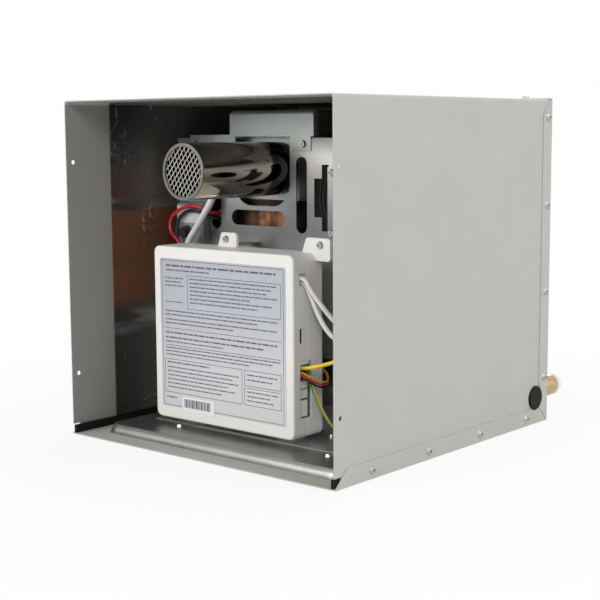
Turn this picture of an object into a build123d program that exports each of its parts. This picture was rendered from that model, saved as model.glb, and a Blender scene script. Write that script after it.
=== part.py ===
from build123d import *
import math
import os

# Tankless water heater for a vehicle wall, in millimetres.
# Origin at the centre of the base's underside, X to the right, Y to the rear, Z up. The open front faces -Y.

# shared
SHEET = 1.0  # case steel
OVERRUN = 5.0  # how far a cutter passes the faces it cuts
BRAZE_GAP = 0.3  # round a tube in its hole
EASY_GAP = 0.2  # between pieces that slip together
RUN_GAP = 0.05  # radial, on pivots and sliding stems

# screws
SCREW_R = 1.5
SCREW_HOLE_R = 1.7
SCREW_HEAD_R = 3.5
SCREW_CROWN_R = 2.6
SCREW_HEAD = 2.4
CROSS_LENGTH = 3.4
CROSS_WIDTH = 0.9
CROSS_DEPTH = 1.2

# case
CASE_WIDTH = 320.0  # over the base flanges
CASE_DEPTH = 334.0
CASE_HEIGHT = 314.0  # over the top flange of the back panel
WRAP_BEND = 3.0
WRAP_FOOT = 4.5  # the walls' lower edge, above the floor
NOTCH_LENGTH = 30.0
NOTCH_TOP = 9.5
FLANGE = 15.5
WALL_HOLE_R = 2.1
WALL_HOLE_INSET = 8.0  # from the front edge
WALL_HOLE_MID = 157.0
WALL_HOLE_SPACING = 199.0
BASE_HOLE_INSET = 6.0
BASE_HOLE_SPACING = 202.0
FLANGE_SCREW_INSET = 7.5  # from the flange's bent edge
REAR_SCREW_LOW = 44.0
REAR_SCREW_HIGH = 18.0  # the highest, below the top
REAR_SCREW_COUNT = 4
FOOT_SCREW_FIRST = 48.0  # from the front
FOOT_SCREW_LAST = 40.0  # from the rear
FOOT_SCREW_COUNT = 4
TOP_SCREW_PITCH = 90.0
TOP_SCREW_COUNT = 4
BACK_SCREW_PITCH = 90.0
BACK_SCREW_COUNT = 3

# liners, seals and the plug
LINER = 2.5
LINER_SETBACK = 53.5  # from the front
SIDE_LINER_REAR_GAP = 41.0  # to the back panel
SIDE_LINER_FOOT_GAP = 1.0  # over the seal
SIDE_LINER_TOP_GAP = 1.5  # to the roof
TOP_LINER_WIDTH = 300.0
TOP_LINER_REAR_GAP = 16.0
SEAL_WIDTH = 3.0
SEAL_HEIGHT = 7.5
SEAL_INSET = 0.5
SEAL_REAR_GAP = 26.5
PLUG_R = 11.75
PLUG_CORE_R = 9.0
PLUG_BARB_R = 10.2
PLUG_HEAD = 2.0
PLUG_BARB = 2.5
PLUG_FROM_REAR = 22.2
PLUG_HEIGHT = 25.3
PLUG_ROOM = 0.5

# chassis tray
TRAY_LEFT = -139.0
TRAY_RIGHT = 150.0
TRAY_SETBACK = 21.0
TRAY_REAR_GAP = 36.0  # to the back panel
TRAY_HEIGHT = 8.0
TRAY_SHEET = 1.0
TRAY_TAPER = 27.0  # degrees
TRAY_CORNER_R = 14.0
TRAY_SCREW_X = (-73.0, 107.0)
TRAY_SCREW_SETBACK = 36.0  # from the tray's front

# chassis plate
PLATE_SETBACK = 125.0  # from the case front
PLATE_SHEET = 1.2
PLATE_LEFT = -138.5
PLATE_RIGHT = 146.0
PLATE_HEIGHT = 269.0
FOOT_WIDTH = 230.0
FOOT_LENGTH = 58.0
FOOT_SCREW_X = (-105.0, 105.0)
FOOT_SCREW_REACH = 30.0  # in front of the plate
SLOT_AXIS = -33.0
SLOT_SPREAD = 54.0
SLOT_WIDTH = 13.0
SLOT_LENGTH = 70.0
SLOT_LIFT = 6.0  # above the exchanger's top
LEVEL_SLOT_WIDTH = 67.0
LEVEL_SLOT_HEIGHT = 14.5
FLUE_NOTCH_LEFT = -63.0
FLUE_NOTCH_ROOM = 1.2  # to the right of the exhaust tube
FLUE_NOTCH_DROP = 10.1  # below the exhaust tube
FLUE_NOTCH_R = 22.0
FAN_OPEN_WIDTH = 96.0
FAN_OPEN_HEIGHT = 35.0
FAN_OPEN_NECK_WIDTH = 78.0
FAN_OPEN_NECK_HEIGHT = 60.0
FAN_OPEN_LAP = 0.6  # of the opening under the baffle
FAN_OPEN_ROOM = 3.0  # round the blower's inlet
LOW_OPEN_LEFT = -60.0
LOW_OPEN_RIGHT = 125.0
LOW_OPEN_FOOT = 35.0
LOW_OPEN_HEIGHT = 43.0
LOW_OPEN_R = 6.0
LUG_WIDTH = 16.0
LUG_RISE = 12.0
LUG_LIFT = 1.0  # above the control box

# flue
TUBE_R = 25.0
TUBE_WALL = 0.8
TUBE_X = -19.2
TUBE_Z = 249.6
TUBE_SETBACK = 13.0  # mouth behind the case front
LIP_WIDTH = 2.2
LIP_LENGTH = 1.2
SCREEN_GAP = 0.1  # behind the lip
SCREEN_SHEET = 0.8
SCREEN_RIM = 1.6
MESH_LONG = 6.4
MESH_SHORT = 5.0
MESH_STRAND = 0.9
HOOD_SHEET = 1.0
HOOD_BOX_LEFT = -66.0
HOOD_BOX_RIGHT = 37.0
HOOD_BOX_GAP = 1.5  # over the plate's top edge
HOOD_BOX_HEIGHT = 24.0
HOOD_BOX_REACH = 2.0  # in front of the plate
HOOD_BOX_BEND = 4.0
TAB_DROP = 13.5
TAB_OVERLAP = 1.5
LEFT_TAB_LEFT = -120.0
LEFT_TAB_RIGHT = -60.0
RIGHT_TAB_LEFT = 9.0
RIGHT_TAB_RIGHT = 33.0
TAB_SCREW_X = (-112.0, 24.4)
TAB_SCREW_DROP = 7.0

# exchanger, chamber and burner
STACK_LEFT = -92.0
STACK_RIGHT = 34.0
STACK_GAP = 14.0  # from the plate's front face
STACK_DEPTH = 94.0
BURNER_HEIGHT = 75.0
BURNER_SHEET = 1.0
CHAMBER_HEIGHT = 102.0
CHAMBER_SHEET = 0.8
CORE_HEIGHT = 34.0
CORE_SHEET = 0.8
FIN_COUNT = 11
FIN_SHEET = 0.6
FIN_RISE = 26.0
WATER_TUBE_R = 5.0
PASS_PITCH = 22.0
PASS_COUNT = 4
PASS_STUB = 3.0  # straight part of a pass outside the shell
UBEND_SHARE = 0.48  # of the pass pitch
RISER_OUT = 12.0  # to the right of the shell
RISER_BEND_R = 8.0
CORE_OUTLET = 16.0
COIL_GAP = 0.3
COIL_LOW = 16.0  # above the chamber's foot
COIL_PITCH = 36.0
COIL_BEND_R = 12.0
COIL_TURN_COUNT = 2
COIL_JOIN_BACK = 42.0  # both joints, behind the chamber's front
COIL_JOIN_STUB = 6.0
BAR_COUNT = 6
BAR_WIDTH = 9.0
BAR_TOP_WIDTH = 6.0
BAR_HEIGHT = 58.0
BAR_END_GAP = 3.0
PORT_COUNT = 7
PORT_WIDTH = 3.0
PORT_DEPTH = 5.0
JET_HEIGHT = 19.0  # above the burner's foot
JET_HOLE_R = 4.0
JET_R = 2.4
JET_COLLAR_R = 5.4
JET_REACH = 3.0
THROAT_R = 3.4
THROAT_DEPTH = 12.0
MANIFOLD_R = 4.5
MANIFOLD_GAP = 7.5  # its axis, in front of the burner box
MANIFOLD_OVERHANG = 6.0
MANIFOLD_BEND_R = 9.0
ELECTRODE_X = 17.0
ELECTRODE_WIDTH = 16.0
ELECTRODE_HEIGHT = 12.0
ELECTRODE_DEPTH = 9.0
ELECTRODE_DROP = 12.0  # its middle, below the burner's top
ELECTRODE_ROD_R = 1.0
ELECTRODE_ROD_REACH = 16.0
ELECTRODE_PITCH = 5.0

# gas train
GAS_X = 109.0
GAS_Z = 50.0
GAS_PIPE_R = 5.0
GAS_PIPE_BEND_R = 14.0
VALVE_LEFT = 90.0
VALVE_WIDTH = 44.0
VALVE_DEPTH = 34.0
VALVE_FOOT = 72.0
VALVE_HEIGHT = 40.0
VALVE_EDGE = 4.0
VALVE_GAP = 4.0  # to the plate, bridged by its pads
VALVE_PAD_R = 5.0
VALVE_BOSS_R = 8.0
VALVE_BOSS = 3.0
OUTLET_INSET = 7.0
OUTLET_HOLE_R = 7.0
TAP_R = 3.4
TAP_LENGTH = 13.0
TAP_HEAD_R = 4.6
TAP_HEAD = 5.0
TAP_DROP = 9.0
COIL_SPACING = 22.0
SOLENOID_R = 10.0
SOLENOID_HEIGHT = 28.0
YOKE_SHEET = 2.0
PLUNGER_R = 4.0
PLUNGER_GAP = 0.3
PLUNGER_LENGTH = 24.0
PLUNGER_TIP_R = 2.5
PLUNGER_TIP = 7.0
TERMINAL_WIDTH = 6.0
TERMINAL_HEIGHT = 8.0
TERMINAL_REACH = 4.0
GAS_FITTING_R = 7.95
GAS_FITTING_BORE_R = 4.4
GAS_FITTING_REACH = 28.0
GAS_NOSE = 6.0
GAS_NOSE_R = 5.6
GAS_HEX = 20.0

# water
COLD_X = 142.0
COLD_Z = 28.0
HOT_X = 112.0
HOT_Z = 88.0
FITTING_R = 10.5
FITTING_BORE_R = 7.0
FITTING_REACH = 36.0
FITTING_INSIDE = 27.0
HEX = 24.0
HEX_LENGTH = 6.0
THREAD_RELIEF = 2.5  # groove between a fitting's hexagon and its thread
THREAD_RELIEF_DEPTH = 1.0
PANEL_ROOM = 0.5  # round a fitting in the back panel
PIPE_BEND_R = 16.0
CAP_WALL = 1.3
CAP_GAP = 0.3
CAP_LENGTH = 24.0
CAP_DOME = 11.0
SENSOR_LENGTH = 45.0
SENSOR_R = 12.0
SENSOR_BORE_R = 8.5
SENSOR_RIB = 4.0
SPIDER_SHEET = 1.6
SPIDER_INSET = 10.0
AXLE_R = 1.2
TURBINE_R = 8.0
TURBINE_HUB_R = 3.0
TURBINE_LENGTH = 14.0
TURBINE_BLADE_COUNT = 5
TURBINE_BLADE = 1.2
TURBINE_TWIST = 35.0  # degrees
COLD_TURN_SHARE = 0.325  # of the way from the coil's joint to the flow sensor, where the cold pipe turns up
PIPE_BEND_SHARE = 0.62  # of the shorter run that a bend may use
PICKUP_SIZE = 9.0

# relief valve
RELIEF_Z = 166.0
RELIEF_R = 11.0
RELIEF_LENGTH = 37.0
RELIEF_FLANGE_R = 13.0
RELIEF_FLANGE = 4.0
RELIEF_BONNET_R = 7.0
RELIEF_BONNET = 6.0
BRANCH_R = 5.5
BRANCH_ROOM = 1.5
DRAIN_R = 6.0
DRAIN_LENGTH = 10.0
DRAIN_FROM_PLATE = 16.0
STEM_R = 2.0
STEM_DEPTH = 24.0
STEM_REACH = 8.0
EYE_R = 3.4
EYE_SHEET = 2.4
PIN_R = 1.5
CHEEK_SHEET = 1.2
CHEEK_GAP = 0.2
CAM_GAP = 0.3
CAM_OFFSET = 2.8
LEVER_LENGTH = 28.0
LEVER_WIDTH = 9.0
LEVER_SHEET = 1.5
LEVER_CLEAR = 4.0  # the blade's root, above the pin
STEM_TRAVEL = 4.0

# combustion air
BLOWER_X = 84.0
BLOWER_Z = 224.0
BLOWER_FLANGE_WIDTH = 102.0
BLOWER_FLANGE_HEIGHT = 76.0
BLOWER_FLANGE = 3.8
BLOWER_FLANGE_CORNER_R = 8.0
SCROLL_R = 37.5
SCROLL_DEPTH = 37.0
SCROLL_WALL = 1.5
INLET_R = 23.0
WHEEL_R = 29.0
WHEEL_EYE_R = 22.0
WHEEL_GAP = 4.0  # to the housing, front and rear
WHEEL_DISC = 1.5
WHEEL_BLADE_COUNT = 20
WHEEL_BLADE = 0.9
WHEEL_BLADE_LEAN = 35.0  # degrees
BLADE_SHARE = 0.9  # of the chord that fits between the rings' edges
WHEEL_HUB_R = 6.0
WHEEL_HUB = 12.0
SHAFT_R = 2.5
SHAFT_DEPTH = 24.0  # inside the motor
SHAFT_ROOM = 1.0
MOTOR_R = 18.0
MOTOR_LENGTH = 30.0
MOTOR_EDGE = 3.0
BAFFLE_LEFT = 52.4
BAFFLE_RIGHT = 140.0
BAFFLE_FOOT = 187.6
BAFFLE_HEIGHT = 64.4
BAFFLE_SHEET = 1.0
BAFFLE_HOLE_R = 18.0
BAFFLE_SCREW_INSET = 5.0
DUCT_LEFT = 58.0
DUCT_WIDTH = 26.0
DUCT_DEPTH = 27.0
DUCT_WALL = 1.2
DUCT_FOOT = 11.0  # above the tray
DUCT_LEG_HEIGHT = 28.0

# control box
CONTROL_LEFT = -104.0
CONTROL_RIGHT = 68.4
CONTROL_LIFT = 5.6  # feet on the plate's foot
CONTROL_HEIGHT = 162.8
CONTROL_GAP = 29.0  # to the plate
BASE_DEPTH = 20.0
COVER_DEPTH = 19.0
CONTROL_WALL = 2.0
CONTROL_CORNER_R = 6.5
COVER_EDGE = 2.0
BASE_SEAM = 0.8  # bevel where the base meets the cover
FOOT_X = (-74.0, 40.0)
FOOT_PAD_WIDTH = 20.0
FOOT_PAD_DEPTH = 14.0
EAR_X = (-38.4, 74.0)
EAR_SPANS = ((13.0, 13.0), (23.0, 11.0))  # left and right of each ear's screw
EAR_RISE = 13.0
EAR_FALL = 7.0  # below the box's top
EAR_SHEET = 3.0
EAR_SETBACK = 6.0  # from the box's rear
EAR_CORNER_R = 3.0
EAR_SLOPE = 7.0  # of its left side
EAR_SCREW_RISE = 7.0
GATE_FOOT = 18.2  # side opening, above the box's foot
GATE_HEIGHT = 48.0
GATE_FRONT = 8.8  # behind the cover's face
GATE_DEPTH = 15.4
GATE_NECK_RISE = 3.0
GATE_NECK_DEPTH = 3.0
WINDOW_FOOT = 135.2
WINDOW_HEIGHT = 11.0
WINDOW_FRONT = 8.0
WINDOW_DEPTH = 10.0
LATCH_FOOT = 84.9
LATCH_HEIGHT = 13.1
LATCH_FRONT = 8.3
LATCH_DEPTH = 4.5
BOARD_SHEET = 1.6
BOARD_MARGIN = 4.0
BOARD_RISE = 14.0  # posts under the board
POST_R = 3.0
POST_INSET = 12.0
PLUG_BODY_WIDTH = 10.0
PLUG_BODY_DEPTH = 13.0
PLUG_BODY_GAP = 0.8  # to the box's wall
PLUG_BODY_SPLIT = 0.6
PLUG_BODY_RISE = 2.0  # of the upper one, past the window
PLUG_BODY_SHARES = (0.02, 0.36, 0.70, 1.0)  # splits of the side opening's height
LABEL_SHEET = 0.4
LABEL_MARGIN = 8.7
LABEL_LOW_MARGIN = 11.2
LABEL_R = 2.0
STICKER_LEFT = -68.4
STICKER_WIDTH = 41.0
STICKER_HEIGHT = 13.7
STICKER_FOOT = 9.0  # above the box's foot
STICKER_SHEET = 0.3
MODULE_LEFT = -133.0
MODULE_WIDTH = 36.0
MODULE_FOOT = 174.0
MODULE_HEIGHT = 40.0
MODULE_DEPTH = 10.0
MODULE_EDGE = 2.0
BOOT_R = 6.5
BOOT_TIP_R = 5.0
BOOT_LENGTH = 8.0
BOOT_INSET_X = 16.0
BOOT_INSET_Z = 13.0
PROBE_X = -86.0
SWITCH_Z = 238.0
SWITCH_R = 5.0
SWITCH_DEPTH = 8.0
SWITCH_FLANGE_R = 6.0
SWITCH_FLANGE = 1.5
PROBE_WIDTH = 11.0
PROBE_HEIGHT = 12.0
PROBE_DEPTH = 6.0

# leads: every row is a step on from the row before it, the first one from the housing that the lead leaves
WIRE_R = 1.8
CABLE_R = 2.2
SLEEVE_R = 3.3
THIN_R = 0.9
GROUND_R = 1.3
BEND_SHARE = 0.45  # of the shorter run that a bend may use
LAST_RUN = 7.0  # how far in front of its seat a lead turns in
LEFT_LAST_RUN = 9.0
SENSE_LAST_RUN = 12.0
GROUND_LAST_RUN = 8.0
PROBE_WIRE_SPREAD = 5.6
PROBE_WIRE_X = 2.0
LEFT_SEAT_INSET = 12.0  # ends behind the box, from its left side
SLEEVE_SEAT_DROP = 25.6  # below the box's top
RED_SEAT_DROP = 40.0
BLACK_SEAT_DROP = 52.0
RED_STEPS = ((0.0, -10.0, 0.0), (-4.0, -7.0, 2.0), (-8.0, -4.0, 4.5), (-15.0, -2.0, 0.9), (-15.6, -2.9, -7.2),
             (-5.7, -1.0, -8.3), (1.4, -1.0, -10.1), (10.0, -1.0, -7.1), (5.8, 0.2, -6.5), (3.2, 0.8, -11.0),
             (8.0, 0.7, -12.0))
BLACK_STEPS = ((0.0, -9.5, 0.0), (-6.5, -6.5, 3.0), (-9.2, -5.0, 5.0), (-13.0, 0.0, 0.2), (-10.6, -2.0, -7.2),
               (-3.4, -1.0, -10.8), (2.2, -0.4, -11.6), (4.0, 0.0, -7.0), (2.6, 0.4, -10.2), (7.2, 0.4, -11.8),
               (9.0, 0.0, -12.0))
SLEEVE_STEPS = ((0.0, -9.5, 0.0), (5.0, -6.5, -16.0), (-7.3, -5.0, -15.4), (-7.6, -3.0, -13.6),
                (-6.7, -3.0, -10.7), (-4.4, -1.0, -10.3), (3.5, 1.2, -9.5))
LEFT_VALVE_STEPS = ((7.4, 0.0, 0.0), (5.1, 1.4, -10.4), (8.9, 5.0, -14.0), (8.1, 5.5, -12.0))
RIGHT_VALVE_STEPS = ((5.2, 0.0, 0.0), (2.9, 3.3, -9.8), (7.6, 1.5, -17.6), (8.4, 2.0, -14.0), (10.5, 2.0, -8.0),
                     (13.0, 1.0, 3.0))
YELLOW_STEPS = ((5.6, 0.0, 0.0), (8.2, 3.4, 1.8), (7.9, 3.5, 2.1), (8.9, 3.5, 3.4))
SENSE_STEPS = ((5.4, 0.0, 0.0), (6.0, 6.8, -5.9), (3.0, 8.0, -3.5), (-0.6, 9.5, -0.5), (-9.7, 9.5, 6.3),
               (-17.5, 7.5, 1.7), (-18.0, 5.0, -0.6))
GROUND_STEPS = ((6.2, 0.0, 0.0), (0.9, 4.5, -11.5), (6.7, 3.0, -17.2), (5.8, 3.0, -11.7), (4.0, 10.0, -11.6))
VALVE_LEAD_AT = ((10.4, 7.4), (13.2, 2.7))  # in the window: behind the cover's face, above the window's foot
YELLOW_AT = (12.6, 45.0)  # in the side opening, the same way
SENSE_AT = (10.2, 38.9)
GROUND_AT = (17.5, 36.0)
SENSE_PITCH = 2.4
SENSE_LEAD_COUNT = 3
YELLOW_SEAT_X = 14.0  # on the gas valve's front, from its lower left corner
YELLOW_SEAT_Z = 18.0
LUG_EYE_X = 69.0
LUG_EYE_REACH = 17.0  # in front of the plate
LUG_EYE_R = 4.5
LUG_TONGUE = 0.8
LUG_BARREL_R = 1.8
LUG_BARREL = 6.0

# places that follow from the sizes
FRONT = -CASE_DEPTH / 2
REAR = CASE_DEPTH / 2
BACK_IN = REAR - SHEET
WALL_OUT = CASE_WIDTH / 2 - SHEET
WALL_IN = WALL_OUT - SHEET
ROOF_OUT = CASE_HEIGHT - SHEET
ROOF_IN = ROOF_OUT - SHEET
REAR_SCREW_PITCH = (CASE_HEIGHT - REAR_SCREW_LOW - REAR_SCREW_HIGH) / (REAR_SCREW_COUNT - 1)
FOOT_SCREW_PITCH = (CASE_DEPTH - FOOT_SCREW_FIRST - FOOT_SCREW_LAST) / (FOOT_SCREW_COUNT - 1)
LINER_FRONT = FRONT + LINER_SETBACK
TRAY_FRONT = FRONT + TRAY_SETBACK
TRAY_LENGTH = BACK_IN - TRAY_REAR_GAP - TRAY_FRONT
TRAY_TOP = SHEET + TRAY_HEIGHT
PLATE_Y = FRONT + PLATE_SETBACK
PLATE_BACK = PLATE_Y + PLATE_SHEET
PLATE_TOP = TRAY_TOP + PLATE_HEIGHT
FOOT_TOP = TRAY_TOP + PLATE_SHEET
STACK_FRONT = PLATE_Y + STACK_GAP
STACK_REAR = STACK_FRONT + STACK_DEPTH
BURNER_TOP = TRAY_TOP + BURNER_HEIGHT
CHAMBER_TOP = BURNER_TOP + CHAMBER_HEIGHT
CORE_TOP = CHAMBER_TOP + CORE_HEIGHT
CORE_MID = (CHAMBER_TOP + CORE_TOP) / 2
FIRST_PASS = (STACK_FRONT + STACK_REAR - PASS_PITCH * (PASS_COUNT - 1)) / 2
CORE_END = STACK_RIGHT + CORE_OUTLET
COIL_LEFT = STACK_LEFT - WATER_TUBE_R - COIL_GAP
COIL_RIGHT = STACK_RIGHT + WATER_TUBE_R + COIL_GAP
COIL_FRONT = STACK_FRONT - WATER_TUBE_R - COIL_GAP
COIL_REAR = STACK_REAR + WATER_TUBE_R + COIL_GAP
COIL_JOIN_Y = STACK_FRONT + COIL_JOIN_BACK
COIL_FOOT = BURNER_TOP + COIL_LOW
COIL_END = COIL_FOOT + COIL_PITCH * COIL_TURN_COUNT
HOOD_BOX_FOOT = PLATE_TOP + HOOD_BOX_GAP
HOOD_BOX_TOP = HOOD_BOX_FOOT + HOOD_BOX_HEIGHT
TUBE_FRONT = FRONT + TUBE_SETBACK
MANIFOLD_Y = STACK_FRONT - MANIFOLD_GAP
JET_Z = TRAY_TOP + JET_HEIGHT
BAR_PITCH = (STACK_RIGHT - STACK_LEFT) / BAR_COUNT
ELECTRODE_Z = BURNER_TOP - ELECTRODE_DROP
VALVE_REAR = PLATE_Y - VALVE_GAP
VALVE_FRONT = VALVE_REAR - VALVE_DEPTH
VALVE_MID_Y = (VALVE_FRONT + VALVE_REAR) / 2
VALVE_RIGHT = VALVE_LEFT + VALVE_WIDTH
VALVE_TOP = VALVE_FOOT + VALVE_HEIGHT
VALVE_MID_X = (VALVE_LEFT + VALVE_RIGHT) / 2
VALVE_MID_Z = (VALVE_FOOT + VALVE_TOP) / 2
SOLENOID_X = (VALVE_MID_X - COIL_SPACING / 2, VALVE_MID_X + COIL_SPACING / 2)
SOLENOID_TOP = VALVE_TOP + SOLENOID_HEIGHT
TERMINAL_Y = VALVE_MID_Y - SOLENOID_R - TERMINAL_REACH
TERMINAL_Z = VALVE_TOP + TERMINAL_HEIGHT / 2
OUTLET_X = VALVE_LEFT + OUTLET_INSET
FITTING_INNER = BACK_IN - FITTING_INSIDE
SENSOR_FRONT = FITTING_INNER - SENSOR_LENGTH
HOT_PIPE_Y = FIRST_PASS + PASS_PITCH * (PASS_COUNT - 1)
RELIEF_FRONT = PLATE_Y - RELIEF_LENGTH
BONNET_FRONT = RELIEF_FRONT - RELIEF_BONNET
EYE_Y = BONNET_FRONT - STEM_REACH
SCROLL_FRONT = PLATE_BACK + BLOWER_FLANGE
SCROLL_REAR = SCROLL_FRONT + SCROLL_DEPTH
DUCT_RIGHT = DUCT_LEFT + DUCT_WIDTH
DUCT_REAR = SCROLL_REAR
DUCT_FRONT = DUCT_REAR - DUCT_DEPTH
DUCT_TOP = BLOWER_Z - BLOWER_FLANGE_HEIGHT / 2
DUCT_LOW = TRAY_TOP + DUCT_FOOT
CONTROL_FOOT = FOOT_TOP + CONTROL_LIFT
CONTROL_TOP = CONTROL_FOOT + CONTROL_HEIGHT
CONTROL_REAR = PLATE_Y - CONTROL_GAP
CONTROL_SPLIT = CONTROL_REAR - BASE_DEPTH
CONTROL_FRONT = CONTROL_SPLIT - COVER_DEPTH
EAR_REAR = CONTROL_REAR - EAR_SETBACK
EAR_SCREW_Z = CONTROL_TOP + EAR_SCREW_RISE
LUG_FOOT = CONTROL_TOP + LUG_LIFT
BOARD_REAR = CONTROL_REAR - CONTROL_WALL - BOARD_RISE
BOARD_FRONT = BOARD_REAR - BOARD_SHEET
PLUG_BODY_RIGHT = CONTROL_RIGHT - CONTROL_WALL - PLUG_BODY_GAP
PLUG_BODY_FRONT = BOARD_FRONT - PLUG_BODY_DEPTH


def block(x0, x1, y0, y1, z0, z1):
    """Box between two corners."""
    return Pos((x0 + x1) / 2, (y0 + y1) / 2, (z0 + z1) / 2) * Box(x1 - x0, y1 - y0, z1 - z0)


def rounded_block(x0, x1, y0, y1, z0, z1, radius):
    """Box between two corners, its edges along Y rounded."""
    front = Plane(origin=((x0 + x1) / 2, y0, (z0 + z1) / 2), x_dir=(1, 0, 0), z_dir=(0, 1, 0))
    return extrude(front * RectangleRounded(x1 - x0, z1 - z0, radius), amount=y1 - y0, dir=(0, 1, 0))


def rod(start, end, radius, end_radius=None):
    """Cylinder, or cone, from one point to another."""
    axis = Vector(*end) - Vector(*start)
    seat = (Align.CENTER, Align.CENTER, Align.MIN)
    if end_radius is None:
        form = Cylinder(radius, axis.length, align=seat)
    else:
        form = Cone(radius, end_radius, axis.length, align=seat)
    return Plane(origin=start, z_dir=axis) * form


def hexagon(x, z, y0, y1, flats):
    """Hexagon bar along Y, with flats above and below."""
    plane = Plane(origin=(x, y0, z), x_dir=(1, 0, 0), z_dir=(0, 1, 0))
    face = plane * RegularPolygon(flats / 2, 6, major_radius=False)
    return extrude(face, amount=y1 - y0, dir=(0, 1, 0))


def prism(plane, outline, thickness):
    """Solid of a closed outline, drawn on a plane and raised along its normal."""
    return extrude(plane * make_face(Polyline(*outline, close=True)), amount=thickness, dir=plane.z_dir)


def slot(x, z, width, height):
    """Cutter for an obround slot in the chassis plate."""
    lean = 90 if height > width else 0
    face = Plane(origin=(x, PLATE_Y, z), x_dir=(1, 0, 0), z_dir=(0, -1, 0))
    face = face * SlotOverall(max(width, height), min(width, height), rotation=lean)
    return extrude(face, amount=OVERRUN, both=True)


def swept(points, radii, radius):
    """Round bar along straight runs joined by tangent arcs."""
    path = FilletPolyline(*points, radius=radii)
    return sweep(Plane(origin=path @ 0, z_dir=path % 0) * Circle(radius), path=path)


def pipe_bends(points):
    """Bend radii of a square-cornered pipe: the usual one, or less on a short run."""
    runs = [(Vector(*end) - Vector(*start)).length for start, end in zip(points, points[1:])]
    return [min(PIPE_BEND_R, PIPE_BEND_SHARE * min(pair)) for pair in zip(runs, runs[1:])]


def along(start, steps):
    """Route of a lead: its start, then a point after each step."""
    points = [Vector(*start)]
    for step in steps:
        points.append(points[-1] + Vector(*step))
    return points


def lead(points, radius):
    """Lead along a route, each bend as wide as its runs allow."""
    radii = []
    for before, corner, after in zip(points, points[1:], points[2:]):
        run_in = corner - before
        run_out = after - corner
        half_turn = math.radians(run_in.get_angle(run_out)) / 2
        radii.append(BEND_SHARE * min(run_in.length, run_out.length) / math.tan(half_turn))
    return swept(points, radii, radius)


def centred(count, pitch):
    """Places of an even row about zero."""
    return [pitch * (index - (count - 1) / 2) for index in range(count)]


def screw(place, way, grip):
    """Pan-head screw, its head seated on a place and its shank going on through the sheets it grips."""
    head = Cone(SCREW_HEAD_R, SCREW_CROWN_R, SCREW_HEAD, align=(Align.CENTER, Align.CENTER, Align.MIN))
    shank = Cylinder(SCREW_R, grip, align=(Align.CENTER, Align.CENTER, Align.MAX))
    arm = Pos(0, 0, SCREW_HEAD) * Box(CROSS_LENGTH, CROSS_WIDTH, CROSS_DEPTH)
    return Plane(origin=place, z_dir=-Vector(*way)) * (head + shank - arm - Rot(0, 0, 90) * arm)


def screw_hole(place, way):
    """Cutter for the hole under a screw."""
    seat = Vector(*place)
    reach = Vector(*way) * OVERRUN
    return rod(seat - reach, seat + reach, SCREW_HOLE_R)


def case_screw_seats():
    """Place and direction of every screw in the case's flanges."""
    rear = REAR - FLANGE_SCREW_INSET
    seats = []
    for side in (-1, 1):
        wall = side * CASE_WIDTH / 2
        for index in range(REAR_SCREW_COUNT):
            seats.append(((wall, rear, REAR_SCREW_LOW + REAR_SCREW_PITCH * index), (-side, 0, 0)))
        for index in range(FOOT_SCREW_COUNT):
            y = FRONT + FOOT_SCREW_FIRST + FOOT_SCREW_PITCH * index
            seats.append(((wall, y, FLANGE_SCREW_INSET), (-side, 0, 0)))
    for x in centred(TOP_SCREW_COUNT, TOP_SCREW_PITCH):
        seats.append(((x, rear, CASE_HEIGHT), (0, 0, -1)))
    for x in centred(BACK_SCREW_COUNT, BACK_SCREW_PITCH):
        seats.append(((x, REAR, FLANGE_SCREW_INSET), (0, -1, 0)))
    return seats


def case_screw_holes():
    """Cutters for all of the case's screw holes."""
    return [screw_hole(place, way) for place, way in case_screw_seats()]


def plug_rod(radius, x0, x1):
    """Round bar on the hole plug's axis, in the right wall."""
    y = REAR - PLUG_FROM_REAR
    return rod((x0, y, PLUG_HEIGHT), (x1, y, PLUG_HEIGHT), radius)


def outer_wrap():
    """Top and two side walls, bent from one sheet."""
    skin = block(-WALL_OUT, WALL_OUT, FRONT, BACK_IN, WRAP_FOOT, ROOF_OUT)
    skin = fillet(skin.edges().filter_by(Axis.Y).group_by(Axis.Z)[-1], WRAP_BEND)
    room = block(-WALL_IN, WALL_IN, FRONT - OVERRUN, BACK_IN + OVERRUN, -OVERRUN, ROOF_IN)
    room = fillet(room.edges().filter_by(Axis.Y).group_by(Axis.Z)[-1], WRAP_BEND - SHEET)
    wide = CASE_WIDTH / 2
    notch = block(-wide, wide, FRONT - OVERRUN, FRONT + NOTCH_LENGTH, 0, NOTCH_TOP)
    holes = case_screw_holes()
    for z in centred(2, WALL_HOLE_SPACING):
        y = FRONT + WALL_HOLE_INSET
        holes.append(rod((-wide, y, WALL_HOLE_MID + z), (wide, y, WALL_HOLE_MID + z), WALL_HOLE_R))
    holes.append(plug_rod(PLUG_CORE_R + EASY_GAP, WALL_IN - OVERRUN, WALL_OUT + OVERRUN))
    return skin - room - notch - holes


def base_panel():
    """Floor sheet with mitred side flanges and a rear flange inside the back panel."""
    wide = CASE_WIDTH / 2
    panel = block(-wide, wide, FRONT, BACK_IN, 0, SHEET)
    panel += block(-WALL_IN + SHEET, WALL_IN - SHEET, BACK_IN - SHEET, BACK_IN, SHEET, FLANGE)
    outline = [(FRONT, 0), (BACK_IN, 0), (BACK_IN - FLANGE, FLANGE), (FRONT + FLANGE, FLANGE)]
    for x in (-wide, WALL_OUT):
        panel += prism(Plane.YZ.offset(x), outline, SHEET)
    holes = case_screw_holes()
    for x in centred(2, BASE_HOLE_SPACING):
        y = FRONT + BASE_HOLE_INSET
        holes.append(rod((x, y, -OVERRUN), (x, y, OVERRUN), WALL_HOLE_R))
    return panel - holes - plug_rod(PLUG_R + PLUG_ROOM, WALL_OUT, WALL_OUT + OVERRUN)


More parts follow.
